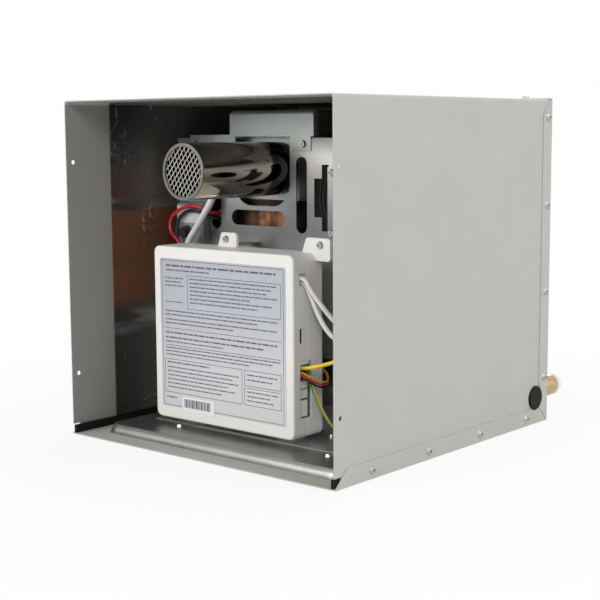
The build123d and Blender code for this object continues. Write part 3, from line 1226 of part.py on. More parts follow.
def blower_housing():
    """Black scroll behind the plate: a flange with the inlet, a drum and a throat down to the duct."""
    wide = BLOWER_FLANGE_WIDTH / 2
    tall = BLOWER_FLANGE_HEIGHT / 2
    body = rounded_block(BLOWER_X - wide, BLOWER_X + wide, PLATE_BACK, SCROLL_FRONT,
                         BLOWER_Z - tall, BLOWER_Z + tall, BLOWER_FLANGE_CORNER_R)
    body += fan_rod(SCROLL_FRONT, SCROLL_REAR, SCROLL_R)
    body += block(DUCT_LEFT, DUCT_RIGHT, DUCT_FRONT, DUCT_REAR, DUCT_TOP, BLOWER_Z)
    body -= fan_rod(SCROLL_FRONT, SCROLL_REAR - SCROLL_WALL, SCROLL_R - SCROLL_WALL)
    body -= block(DUCT_LEFT + SCROLL_WALL, DUCT_RIGHT - SCROLL_WALL, DUCT_FRONT + SCROLL_WALL,
                  DUCT_REAR - SCROLL_WALL, DUCT_TOP - OVERRUN, BLOWER_Z)
    body -= fan_rod(PLATE_BACK, SCROLL_FRONT, INLET_R)
    return body - fan_rod(SCROLL_REAR - OVERRUN, SCROLL_REAR + OVERRUN, SHAFT_R + SHAFT_ROOM)


def blower_wheel():
    """Fan wheel: a rear disc, a ring of leaning blades, a front ring, the hub and the motor's shaft."""
    front = SCROLL_FRONT + WHEEL_GAP
    rear = SCROLL_REAR - SCROLL_WALL - WHEEL_GAP
    wheel = fan_rod(rear - WHEEL_DISC, rear, WHEEL_R)
    wheel += fan_rod(front, front + WHEEL_DISC, WHEEL_R) - fan_rod(front, front + WHEEL_DISC, WHEEL_EYE_R)
    middle = Pos(BLOWER_X, (front + rear) / 2, BLOWER_Z)
    depth = rear - front - WHEEL_DISC * 2
    chord = (WHEEL_R - WHEEL_EYE_R) / math.cos(math.radians(WHEEL_BLADE_LEAN)) * BLADE_SHARE
    blade = Pos((WHEEL_R + WHEEL_EYE_R) / 2, 0, 0) * Rot(0, WHEEL_BLADE_LEAN, 0) * Box(chord, depth, WHEEL_BLADE)
    wheel += [middle * Rot(0, 360 * index / WHEEL_BLADE_COUNT, 0) * blade for index in range(WHEEL_BLADE_COUNT)]
    wheel += fan_rod(rear - WHEEL_HUB, rear, WHEEL_HUB_R)
    return wheel + fan_rod(rear, SCROLL_REAR + SHAFT_DEPTH, SHAFT_R)


def blower_motor():
    """Motor on the rear of the scroll, bored for the shaft."""
    motor = fan_rod(SCROLL_REAR, SCROLL_REAR + MOTOR_LENGTH, MOTOR_R)
    motor = chamfer(motor.faces().sort_by(Axis.Y)[-1].edges(), MOTOR_EDGE)
    return motor - fan_rod(SCROLL_REAR, SCROLL_REAR + SHAFT_DEPTH + EASY_GAP, SHAFT_R + RUN_GAP)


def blower_baffle():
    """Plate over the blower's inlet with a smaller orifice."""
    front = PLATE_Y - BAFFLE_SHEET
    sheet = block(BAFFLE_LEFT, BAFFLE_RIGHT, front, PLATE_Y, BAFFLE_FOOT, BAFFLE_FOOT + BAFFLE_HEIGHT)
    return sheet - fan_rod(front - OVERRUN, PLATE_Y + OVERRUN, BAFFLE_HOLE_R) - chassis_screw_holes()


def air_duct():
    """Duct from the blower's throat down to the burner box's side."""
    leg_top = DUCT_LOW + DUCT_LEG_HEIGHT
    duct = block(DUCT_LEFT, DUCT_RIGHT, DUCT_FRONT, DUCT_REAR, DUCT_LOW, DUCT_TOP)
    duct += block(STACK_RIGHT, DUCT_LEFT, DUCT_FRONT, DUCT_REAR, DUCT_LOW, leg_top)
    front = DUCT_FRONT + DUCT_WALL
    rear = DUCT_REAR - DUCT_WALL
    right = DUCT_RIGHT - DUCT_WALL
    duct -= block(DUCT_LEFT + DUCT_WALL, right, front, rear, DUCT_LOW + DUCT_WALL, DUCT_TOP)
    return duct - block(STACK_RIGHT, right, front, rear, DUCT_LOW + DUCT_WALL, leg_top - DUCT_WALL)


def control_rooms():
    """Cutter for the inside of the control box, base and cover together."""
    inner_r = CONTROL_CORNER_R - CONTROL_WALL
    return rounded_block(CONTROL_LEFT + CONTROL_WALL, CONTROL_RIGHT - CONTROL_WALL,
                         CONTROL_FRONT + CONTROL_WALL, CONTROL_REAR - CONTROL_WALL,
                         CONTROL_FOOT + CONTROL_WALL, CONTROL_TOP - CONTROL_WALL, inner_r)


def side_cut(front, depth, foot, height):
    """Cutter through the control box's right wall, placed from the cover's face and the box's foot."""
    y = CONTROL_FRONT + front
    z = CONTROL_FOOT + foot
    return block(CONTROL_RIGHT - CONTROL_CORNER_R, CONTROL_RIGHT + OVERRUN, y, y + depth, z, z + height)


def side_gate():
    """Cutters for the side opening where the leads leave, with its narrow neck."""
    neck = GATE_FRONT + GATE_DEPTH - GATE_NECK_DEPTH
    return [side_cut(GATE_FRONT, GATE_DEPTH, GATE_FOOT, GATE_HEIGHT),
            side_cut(neck, GATE_NECK_DEPTH, GATE_FOOT, GATE_HEIGHT + GATE_NECK_RISE)]


def board_sides():
    """Left, right, foot and top of the circuit board."""
    margin = CONTROL_WALL + BOARD_MARGIN
    return CONTROL_LEFT + margin, PLUG_BODY_RIGHT, CONTROL_FOOT + margin, CONTROL_TOP - margin


def ear(x, span):
    """Ear of the control box: a plate with a sloping left side and rounded corners."""
    left, right = span
    foot = CONTROL_TOP - EAR_FALL
    top = CONTROL_TOP + EAR_RISE
    outline = [(x - left, foot), (x + right, foot), (x + right, top), (x - left + EAR_SLOPE, top)]
    plane = Plane(origin=(0, EAR_REAR, 0), x_dir=(1, 0, 0), z_dir=(0, -1, 0))
    plate = prism(plane, outline, EAR_SHEET)
    return fillet(plate.edges().filter_by(Axis.Y), EAR_CORNER_R)


def control_base():
    """Rear half of the control box, with feet, ears and posts for the board."""
    base = rounded_block(CONTROL_LEFT, CONTROL_RIGHT, CONTROL_SPLIT, CONTROL_REAR, CONTROL_FOOT, CONTROL_TOP,
                         CONTROL_CORNER_R)
    base = chamfer(base.faces().sort_by(Axis.Y)[0].edges(), BASE_SEAM)
    middle = (CONTROL_SPLIT + CONTROL_REAR) / 2
    for x in FOOT_X:
        base += block(x - FOOT_PAD_WIDTH / 2, x + FOOT_PAD_WIDTH / 2, middle - FOOT_PAD_DEPTH / 2,
                      middle + FOOT_PAD_DEPTH / 2, FOOT_TOP, CONTROL_FOOT)
    for x, span in zip(EAR_X, EAR_SPANS):
        base += ear(x, span)
    base -= control_rooms()
    left, right, foot, top = board_sides()
    for x in (left + POST_INSET, right - POST_INSET):
        for z in (foot + POST_INSET, top - POST_INSET):
            base += rod((x, BOARD_REAR, z), (x, CONTROL_REAR - CONTROL_WALL, z), POST_R)
    return base - side_gate() - chassis_screw_holes()


def control_cover():
    """Front half of the control box, its face edge softened and its side pierced."""
    cover = rounded_block(CONTROL_LEFT, CONTROL_RIGHT, CONTROL_FRONT, CONTROL_SPLIT, CONTROL_FOOT, CONTROL_TOP,
                          CONTROL_CORNER_R)
    cover = fillet(cover.faces().sort_by(Axis.Y)[0].edges(), COVER_EDGE)
    cover -= control_rooms()
    cover -= side_gate()
    cover -= side_cut(WINDOW_FRONT, WINDOW_DEPTH, WINDOW_FOOT, WINDOW_HEIGHT)
    return cover - side_cut(LATCH_FRONT, LATCH_DEPTH, LATCH_FOOT, LATCH_HEIGHT)


def circuit_board():
    """Board on the base's posts."""
    left, right, foot, top = board_sides()
    return block(left, right, BOARD_REAR - BOARD_SHEET, BOARD_REAR, foot, top)


def board_connectors():
    """Plug bodies on the board behind the side opening and the window."""
    left = PLUG_BODY_RIGHT - PLUG_BODY_WIDTH
    gate = CONTROL_FOOT + GATE_FOOT
    bodies = []
    for low, high in zip(PLUG_BODY_SHARES, PLUG_BODY_SHARES[1:]):
        bodies.append(block(left, PLUG_BODY_RIGHT, PLUG_BODY_FRONT, BOARD_FRONT, gate + GATE_HEIGHT * low,
                            gate + GATE_HEIGHT * high - PLUG_BODY_SPLIT))
    window = CONTROL_FOOT + WINDOW_FOOT
    bodies.append(block(left, PLUG_BODY_RIGHT, PLUG_BODY_FRONT, BOARD_FRONT, window - PLUG_BODY_RISE,
                        window + WINDOW_HEIGHT + PLUG_BODY_RISE))
    return bodies


def label_plate():
    """Thin blank plate on the cover's face with a smaller sticker over its lower edge."""
    plate = rounded_block(CONTROL_LEFT + LABEL_MARGIN, CONTROL_RIGHT - LABEL_MARGIN, CONTROL_FRONT - LABEL_SHEET,
                          CONTROL_FRONT, CONTROL_FOOT + LABEL_LOW_MARGIN, CONTROL_TOP - LABEL_LOW_MARGIN, LABEL_R)
    foot = CONTROL_FOOT + STICKER_FOOT
    return plate + block(STICKER_LEFT, STICKER_LEFT + STICKER_WIDTH, CONTROL_FRONT - LABEL_SHEET - STICKER_SHEET,
                         CONTROL_FRONT, foot, foot + STICKER_HEIGHT)


def spark_module():
    """Spark unit on the plate with the rubber boot of its high-tension lead."""
    front = PLATE_Y - MODULE_DEPTH
    body = block(MODULE_LEFT, MODULE_LEFT + MODULE_WIDTH, front, PLATE_Y,
                 MODULE_FOOT, MODULE_FOOT + MODULE_HEIGHT)
    body = chamfer(body.faces().sort_by(Axis.Y)[0].edges(), MODULE_EDGE)
    x = MODULE_LEFT + BOOT_INSET_X
    z = MODULE_FOOT + BOOT_INSET_Z
    return body + rod((x, front, z), (x, front - BOOT_LENGTH, z), BOOT_R, BOOT_TIP_R)


def temperature_sensors():
    """Limit switch on the hood and water sensor on the exchanger, both facing the left slot."""
    seat = (PROBE_X, STACK_FRONT, SWITCH_Z)
    switch = rod((PROBE_X, STACK_FRONT - SWITCH_DEPTH, SWITCH_Z), seat, SWITCH_R)
    switch += rod((PROBE_X, STACK_FRONT - SWITCH_FLANGE, SWITCH_Z), seat, SWITCH_FLANGE_R)
    wide = PROBE_WIDTH / 2
    tall = PROBE_HEIGHT / 2
    probe = block(PROBE_X - wide, PROBE_X + wide, STACK_FRONT - PROBE_DEPTH, STACK_FRONT,
                  CORE_MID - tall, CORE_MID + tall)
    return [switch, probe]


def left_lead(start, steps, drop, radius):
    """Lead from a sensor, out through the left slot and in behind the control box."""
    seat = Vector(CONTROL_LEFT + LEFT_SEAT_INSET, CONTROL_REAR, CONTROL_TOP - drop)
    points = along(start, steps)
    points += [seat + Vector(0, LEFT_LAST_RUN, 0), seat]
    return lead(points, radius)


def red_lead():
    """Upper lead of the water sensor."""
    start = (PROBE_X + PROBE_WIRE_X, STACK_FRONT - PROBE_DEPTH, CORE_MID + PROBE_WIRE_SPREAD / 2)
    return left_lead(start, RED_STEPS, RED_SEAT_DROP, WIRE_R)


def black_lead():
    """Lower lead of the water sensor."""
    start = (PROBE_X + PROBE_WIRE_X, STACK_FRONT - PROBE_DEPTH, CORE_MID - PROBE_WIRE_SPREAD / 2)
    return left_lead(start, BLACK_STEPS, BLACK_SEAT_DROP, WIRE_R)


def sensor_sleeve():
    """White sleeved lead of the limit switch."""
    start = (PROBE_X, STACK_FRONT - SWITCH_DEPTH, SWITCH_Z)
    return left_lead(start, SLEEVE_STEPS, SLEEVE_SEAT_DROP, SLEEVE_R)


def side_start(place, foot):
    """Start of a lead on a plug body: depth behind the cover's face, height above an opening's foot."""
    depth, height = place
    return (PLUG_BODY_RIGHT, CONTROL_FRONT + depth, CONTROL_FOOT + foot + height)


def valve_leads():
    """Two cables from the window to the solenoids' terminals."""
    cables = []
    for place, steps, x in zip(VALVE_LEAD_AT, (LEFT_VALVE_STEPS, RIGHT_VALVE_STEPS), SOLENOID_X):
        seat = Vector(x, TERMINAL_Y, TERMINAL_Z)
        points = along(side_start(place, WINDOW_FOOT), steps)
        cables.append(lead(points + [seat - Vector(0, LAST_RUN, 0), seat], CABLE_R))
    return cables


def yellow_lead():
    """Lead from the side opening to the gas valve's regulator."""
    seat = Vector(VALVE_LEFT + YELLOW_SEAT_X, VALVE_FRONT, VALVE_FOOT + YELLOW_SEAT_Z)
    points = along(side_start(YELLOW_AT, GATE_FOOT), YELLOW_STEPS)
    return lead(points + [seat - Vector(0, LAST_RUN, 0), seat], WIRE_R)


def sense_leads():
    """Thin leads from the side opening, round the box and through the low opening to the electrodes."""
    front = STACK_FRONT - ELECTRODE_DEPTH
    wires = []
    for rise, z in zip(centred(SENSE_LEAD_COUNT, SENSE_PITCH), electrode_rows()):
        seat = Vector(ELECTRODE_X, front, z)
        points = along(side_start(SENSE_AT, GATE_FOOT), SENSE_STEPS)
        points = [point + Vector(0, 0, rise) for point in points]
        wires.append(lead(points + [seat - Vector(0, SENSE_LAST_RUN, 0), seat], THIN_R))
    return wires


def lug_axis():
    """Centre of the ground lug's eye, and the end of its barrel."""
    eye = Vector(LUG_EYE_X, PLATE_Y - LUG_EYE_REACH, FOOT_TOP)
    return eye, eye + Vector(LUG_EYE_R * 2 + LUG_BARREL, 0, LUG_BARREL_R)


def ground_lead():
    """Earth lead from the side opening down to the lug on the plate's foot."""
    eye, seat = lug_axis()
    points = along(side_start(GROUND_AT, GATE_FOOT), GROUND_STEPS)
    return lead(points + [seat + Vector(GROUND_LAST_RUN, 0, 0), seat], GROUND_R)


def ground_lug():
    """Ring terminal under a screw on the plate's foot."""
    eye, end = lug_axis()
    lug = rod(eye, eye + Vector(0, 0, LUG_TONGUE), LUG_EYE_R)
    wide = LUG_BARREL_R
    lug += block(eye.X, end.X - LUG_BARREL, eye.Y - wide, eye.Y + wide, FOOT_TOP, FOOT_TOP + LUG_TONGUE)
    lug += rod(end - Vector(LUG_BARREL, 0, 0), end, LUG_BARREL_R)
    return lug - chassis_screw_holes()


def left_plunger():
    """Plunger of the left coil."""
    return plunger(SOLENOID_X[0])


def right_plunger():
    """Plunger of the right coil."""
    return plunger(SOLENOID_X[1])


PIECES = (
    outer_wrap, base_panel, back_panel, case_screws, side_liners, top_liner, edge_seals, hole_plug,
    chassis_tray, chassis_plate, chassis_screws,
    flue_hood, exhaust_tube, exhaust_screen,
    exchanger_shell, exchanger_fins, exchanger_tube, chamber_shell, chamber_coil,
    burner_box, burner_bars, gas_manifold, electrode_block,
    gas_valve, solenoid_coils, left_plunger, right_plunger, gas_pipe, gas_fitting,
    cold_fitting, cold_cap, flow_sensor, flow_turbine, cold_pipe, hot_fitting, hot_pipe,
    relief_valve, relief_stem, relief_lever,
    blower_housing, blower_wheel, blower_motor, blower_baffle, air_duct,
    control_base, control_cover, circuit_board, board_connectors, label_plate, spark_module, temperature_sensors,
    red_lead, black_lead, sensor_sleeve, valve_leads, yellow_lead, sense_leads, ground_lead, ground_lug,
)


def main():
    """Write each piece to its own file."""
    os.makedirs("parts", exist_ok=True)
    for piece in PIECES:
        form = piece()
        solids = form if isinstance(form, list) else [form]
        export_step(Compound(children=[solid for item in solids for solid in item.solids()]),
                    os.path.join("parts", piece.__name__ + ".step"))


if __name__ == "__main__":
    main()
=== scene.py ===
"""Scene of a tankless water heater for a vehicle wall, seen from its open front.

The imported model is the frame. Each sub-assembly is a class that dresses its nodes and adds the pieces that
only the picture needs: flexible leads, screw threads, the screen's strands, the blower's ribs and the
label's bars. All lengths are in metres.
"""

from __future__ import annotations

import logging
import math
from dataclasses import dataclass
from enum import Enum
from typing import Any, ClassVar, Iterable, Sequence, Union

import bmesh
import bpy
from mathutils import Matrix, Vector

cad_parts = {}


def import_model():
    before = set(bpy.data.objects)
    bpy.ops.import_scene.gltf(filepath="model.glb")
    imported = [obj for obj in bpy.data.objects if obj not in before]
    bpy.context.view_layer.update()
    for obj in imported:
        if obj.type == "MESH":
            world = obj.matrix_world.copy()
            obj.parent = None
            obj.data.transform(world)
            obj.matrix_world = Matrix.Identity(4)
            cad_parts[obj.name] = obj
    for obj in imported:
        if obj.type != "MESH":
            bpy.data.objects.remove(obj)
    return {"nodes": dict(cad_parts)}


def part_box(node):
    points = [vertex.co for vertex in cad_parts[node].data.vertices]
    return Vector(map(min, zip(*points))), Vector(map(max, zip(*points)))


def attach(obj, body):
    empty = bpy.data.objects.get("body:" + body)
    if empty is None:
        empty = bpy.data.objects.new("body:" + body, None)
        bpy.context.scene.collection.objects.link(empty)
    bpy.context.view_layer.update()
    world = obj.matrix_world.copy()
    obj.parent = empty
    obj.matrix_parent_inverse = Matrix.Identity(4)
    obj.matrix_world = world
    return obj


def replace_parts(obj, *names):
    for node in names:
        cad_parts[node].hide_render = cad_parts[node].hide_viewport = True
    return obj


LOG = logging.getLogger("heater")

Colour = tuple[float, float, float]
Point = tuple[float, float, float]
Number = Union[float, "Value"]
Sockets = dict[str, Any]
Loop = Sequence[bmesh.types.BMVert]
# Two ends, a pair of factors, or a bump's depth and strength.
Span = tuple[float, float]
# Where an axis along Y lies: its X and Z.
Spot = tuple[float, float]
# Where a soft-edged band starts, is full, is full still and has ended.
Band = tuple[float, float, float, float]
# A range's two ends, and what each of them is mapped on to.
Mapped = tuple[float, float, float, float]
# The left, right, low and high edge of a printed bar.
Bar = tuple[float, float, float, float]

WHITE: Colour = (1.0, 1.0, 1.0)
EVEN: Point = (1.0, 1.0, 1.0)
# The body that all new pieces ride on.
CASE_BODY = "case"
# The upper and lower edge of the label plate's printed face.
LABEL_TOP = 0.1674
LABEL_FOOT = 0.027
POINTS_AROUND = 60
HEX_SIDES = 6


class Slot(Enum):
    """The record's material slots, one listed with each new piece."""

    TUBE_POLISH = "tube_polish"
    BRASS = "brass"
    BLOWER_BLACK = "blower_black"
    LABEL_SILVER = "label_silver"
    WIRE_RED = "wire_red"
    WIRE_BLACK = "wire_black"
    WIRE_WHITE = "wire_white"
    WIRE_YELLOW = "wire_yellow"
    WIRE_GREEN = "wire_green"


class Axis(Enum):
    """The frame's axes, by their place in a vector."""

    X = 0
    Y = 1
    Z = 2


class Value:
    """A number that varies over a surface: an output socket with Python's operators."""

    def __init__(self, graph: "Graph", socket: bpy.types.NodeSocket) -> None:
        """Keeps the socket and the graph that it belongs to.

        Args:
            graph: the graph that new nodes go into.
            socket: the output socket that carries the number.
        """
        self.graph = graph
        self.socket = socket

    def _math(self, operation: str, *terms: Number) -> "Value":
        """Adds one Math node for an operation on the terms."""
        return self.graph.node("ShaderNodeMath", {"operation": operation}, dict(enumerate(terms)))

    def __add__(self, other: Number) -> "Value":
        """self + other."""
        return self._math("ADD", self, other)

    def __radd__(self, other: Number) -> "Value":
        """other + self."""
        return self._math("ADD", other, self)

    def __sub__(self, other: Number) -> "Value":
        """self - other."""
        return self._math("SUBTRACT", self, other)

    def __rsub__(self, other: Number) -> "Value":
        """other - self."""
        return self._math("SUBTRACT", other, self)

    def __mul__(self, other: Number) -> "Value":
        """self * other."""
        return self._math("MULTIPLY", self, other)

    def __gt__(self, other: Number) -> "Value":
        """1 where self is above other, else 0."""
        return self._math("GREATER_THAN", self, other)

    def __lt__(self, other: Number) -> "Value":
        """1 where self is below other, else 0."""
        return self._math("LESS_THAN", self, other)

    def __abs__(self) -> "Value":
        """The size of self."""
        return self._math("ABSOLUTE", self)

    def swing(self, by: float) -> "Value":
        """How far self lies from one half, times by."""
        return (self - 0.5) * by

    def ramp(self, low: float, high: float, start: float = 0.0, end: float = 1.0) -> "Value":
        """Maps a range on to another, smoothly and clamped.

        Args:
            low: the value that gives start.
            high: the value that gives end.
            start: the result at low and beyond it.
            end: the result at high and beyond it.

        Returns:
            The mapped value.
        """
        settings = {"interpolation_type": "SMOOTHSTEP", "clamp": True}
        inputs = {"Value": self, "From Min": low, "From Max": high, "To Min": start, "To Max": end}
        return self.graph.node("ShaderNodeMapRange", settings, inputs)

    def band(self, limits: Band) -> "Value":
        """1 inside a soft-edged band and 0 outside it."""
        start, full, still, end = limits
        return self.ramp(start, full) * self.ramp(end, still)


@dataclass(frozen=True)
class Patches:
    """Soft noise: the length of one patch, its octaves, its bend and the stretch of each axis.

    A small factor of the stretch draws the patches out along that axis.
    """

    size: float
    detail: float = 2.0
    warp: float = 0.0
    by: Point = EVEN


class Graph:
    """A material's or the world's nodes, written as expressions."""

    edge_samples: ClassVar[int] = 4
    edge_facing: ClassVar[Span] = (0.995, 0.88)

    def __init__(self, tree: bpy.types.NodeTree) -> None:
        """Empties the tree.

        Args:
            tree: the node tree to fill.
        """
        self.tree = tree
        self.tree.nodes.clear()

    @staticmethod
    def _socket(sockets: Iterable[bpy.types.NodeSocket], key: Union[int, str]) -> bpy.types.NodeSocket:
        """Finds a socket by its place, its identifier or its name.

        Args:
            sockets: a node's inputs or outputs.
            key: the place, identifier or name.

        Returns:
            The socket.
        """
        listed = list(sockets)
        if isinstance(key, int):
            return listed[key]
        named = [s for s in listed if s.identifier == key] or [s for s in listed if s.name == key]
        return named[0]

    def node(self, kind: str, settings: dict[str, Any] | None = None,
             inputs: dict[Union[int, str], Any] | None = None, out: Union[int, str] = 0) -> Value:
        """Adds a node: its settings first, then the values or links of its sockets.

        Args:
            kind: the node's type.
            settings: attributes of the node.
            inputs: a value or a Value for each socket, by place, identifier or name.
            out: the output that is handed back.

        Returns:
            The chosen output, or an output node's first input.
        """
        made = self.tree.nodes.new(kind)
        for name, setting in (settings or {}).items():
            setattr(made, name, setting)
        for key, given in (inputs or {}).items():
            socket = self._socket(made.inputs, key)
            if isinstance(given, Value):
                self.tree.links.new(given.socket, socket)
            elif isinstance(given, tuple) and len(given) == 3 and socket.type == "RGBA":
                socket.default_value = (*given, 1.0)
            else:
                socket.default_value = given
        outputs = list(made.outputs)
        return Value(self, self._socket(outputs, out) if outputs else made.inputs[0])

    def place(self) -> Value:
        """The point on the surface, in the frame's metres."""
        return self.node("ShaderNodeTexCoord", out="Object")

    def part(self, vector: Value, axis: Axis) -> Value:
        """One coordinate of a vector."""
        return self.node("ShaderNodeSeparateXYZ", inputs={0: vector}, out=axis.value)

    def along(self, axis: Axis) -> Value:
        """One coordinate of the point on the surface."""
        return self.part(self.place(), axis)

    def noise(self, patches: Patches) -> Value:
        """Soft noise around 0.5.

        Args:
            patches: the size and kind of its patches.

        Returns:
            The noise.
        """
        factors = {0: self.place(), 1: patches.by}
        stretched = self.node("ShaderNodeVectorMath", {"operation": "MULTIPLY"}, factors)
        inputs = {"Vector": stretched, "Scale": 1.0 / patches.size, "Detail": patches.detail,
                  "Distortion": patches.warp}
        return self.node("ShaderNodeTexNoise", inputs=inputs, out="Fac")

    def wandering(self, axis: Axis, patches: Patches, by: float) -> Value:
        """A coordinate of the point on the surface, made uneven.

        Args:
            axis: which coordinate.
            patches: the unevenness.
            by: how far it reaches from end to end.

        Returns:
            The uneven coordinate.
        """
        return self.along(axis) + self.noise(patches).swing(by)

    def cells(self, size: float, out: str) -> Value:
        """One output of a Voronoi pattern with cells of a size."""
        inputs = {"Vector": self.place(), "Scale": 1.0 / size}
        return self.node("ShaderNodeTexVoronoi", inputs=inputs, out=out)

    def facing(self, normal: Value, way: Union[Point, Value]) -> Value:
        """How far a normal looks a way: 1 along it, 0 across it and -1 against it."""
        inputs = {0: normal, 1: way}
        return self.node("ShaderNodeVectorMath", {"operation": "DOT_PRODUCT"}, inputs, "Value")

    def normal(self) -> Value:
        """The surface's own normal."""
        return self.node("ShaderNodeNewGeometry", out="Normal")

    def edges(self, radius: float) -> Value:
        """1 near the piece's edges and 0 on its faces.

        Args:
            radius: how far an edge reaches.

        Returns:
            The mask.
        """
        rounded = self.node("ShaderNodeBevel", {"samples": self.edge_samples}, {"Radius": radius})
        return self.facing(rounded, self.normal()).ramp(*self.edge_facing)

    def blend(self, factor: Number, first: Union[Colour, Value], second: Union[Colour, Value]) -> Value:
        """A mix of two colours.

        Args:
            factor: 0 gives the first, 1 the second.
            first: a colour or a colour socket.
            second: a colour or a colour socket.

        Returns:
            The mixed colour.
        """
        inputs = {"Factor_Float": factor, "A_Color": first, "B_Color": second}
        return self.node("ShaderNodeMix", {"data_type": "RGBA"}, inputs, "Result_Color")

    def tones(self, factor: Value, colour: Colour, factors: Span) -> Value:
        """A colour that runs from one shade of itself to another.

        Args:
            factor: 0 gives the first shade, 1 the second.
            colour: the colour.
            factors: what each shade multiplies it by.

        Returns:
            The shaded colour.
        """
        first, second = factors
        return self.blend(factor, shade(colour, first), shade(colour, second))

    def stained(self, inputs: Sockets, mask: Value, colour: Colour, rougher: float = 0.0) -> Sockets:
        """Lays a stain over a finish.

        Args:
            inputs: the finish's own sockets.
            mask: 1 where the stain covers it.
            colour: the stain's colour.
            rougher: what the stain adds to the roughness.

        Returns:
            The sockets with the stain.
        """
        laid: Sockets = {"Base Color": self.blend(mask, inputs["Base Color"], colour)}
        if rougher:
            laid["Roughness"] = inputs["Roughness"] + mask * rougher
        return inputs | laid

    def bump(self, height: Value, depth: float, strength: float = 1.0) -> Value:
        """A normal from a height.

        Args:
            height: the height, about 0 to 1.
            depth: the length that 1 stands for.
            strength: how much of it shows.

        Returns:
            The normal.
        """
        inputs = {"Height": height, "Distance": depth, "Strength": strength}
        return self.node("ShaderNodeBump", inputs=inputs)


@dataclass(frozen=True)
class Finish:
    """A surface finish; each kind writes its own nodes."""

    name: str

    def material(self) -> bpy.types.Material:
        """Makes the material.

        Returns:
            A node material that carries this finish's name.
        """
        made = bpy.data.materials.new(self.name)
        made.use_nodes = True
        graph = Graph(made.node_tree)
        shader = graph.node("ShaderNodeBsdfPrincipled", inputs=self.sockets(graph), out="BSDF")
        graph.node("ShaderNodeOutputMaterial", inputs={"Surface": shader})
        return made

    def sockets(self, graph: Graph) -> Sockets:
        """Writes the finish's nodes.

        Args:
            graph: the material's nodes.

        Returns:
            The surface shader's inputs.
        """
        raise NotImplementedError


def shade(colour: Colour, factor: float) -> Colour:
    """A colour made lighter or darker.

    Args:
        colour: the colour.
        factor: what each channel is multiplied by.

    Returns:
        The new colour.
    """
    red, green, blue = (min(1.0, channel * factor) for channel in colour)
    return red, green, blue


@dataclass(frozen=True)
class Paint(Finish):
    """Satin paint on sheet steel: faint orange peel, mottling, rubbed edges and painted shade on the faces
    inside the case.
    """

    colour: Colour = (0.5, 0.5, 0.5)
    roughness: float = 0.5
    worn: Colour = (0.62, 0.62, 0.61)
    wear: float = 0.35
    # how dark the painted shade on the faces inside the case is
    lean: float = 0.62
    wall: float = 0.1585
    deck: float = 0.0015
    roof: float = 0.309
    back: float = 0.1655
    mottle: Patches = Patches(0.05, 3.0)
    factors: Span = (0.95, 1.05)
    scuffs: Patches = Patches(0.006, 4.0, 0.6)
    scuffed: Span = (0.42, 0.62)
    edge: float = 0.0012
    uneven: float = 0.16
    peel: Patches = Patches(0.0011, 1.0)
    relief: Span = (0.00002, 0.6)
    specular: float = 0.25

    def sockets(self, graph: Graph) -> Sockets:
        """Writes the finish's nodes.

        Args:
            graph: the material's nodes.

        Returns:
            The surface shader's inputs.
        """
        scuff = graph.noise(self.scuffs)
        level = graph.along(Axis.Z)
        inside = (abs(graph.along(Axis.X)) < self.wall) * (graph.along(Axis.Y) < self.back)
        painted_shade_inside = inside * (level > self.deck) * (level < self.roof)
        outer = graph.tones(graph.noise(self.mottle), self.colour, self.factors)
        # painted shade: faces inside the case are drawn darker
        ground = graph.blend(painted_shade_inside, outer, shade(self.colour, self.lean))
        rubbed = graph.edges(self.edge) * scuff.ramp(*self.scuffed) * self.wear
        return {"Base Color": graph.blend(rubbed, ground, self.worn),
                "Roughness": self.roughness + scuff.swing(self.uneven),
                "Normal": graph.bump(graph.noise(self.peel), *self.relief),
                "Specular IOR Level": self.specular}


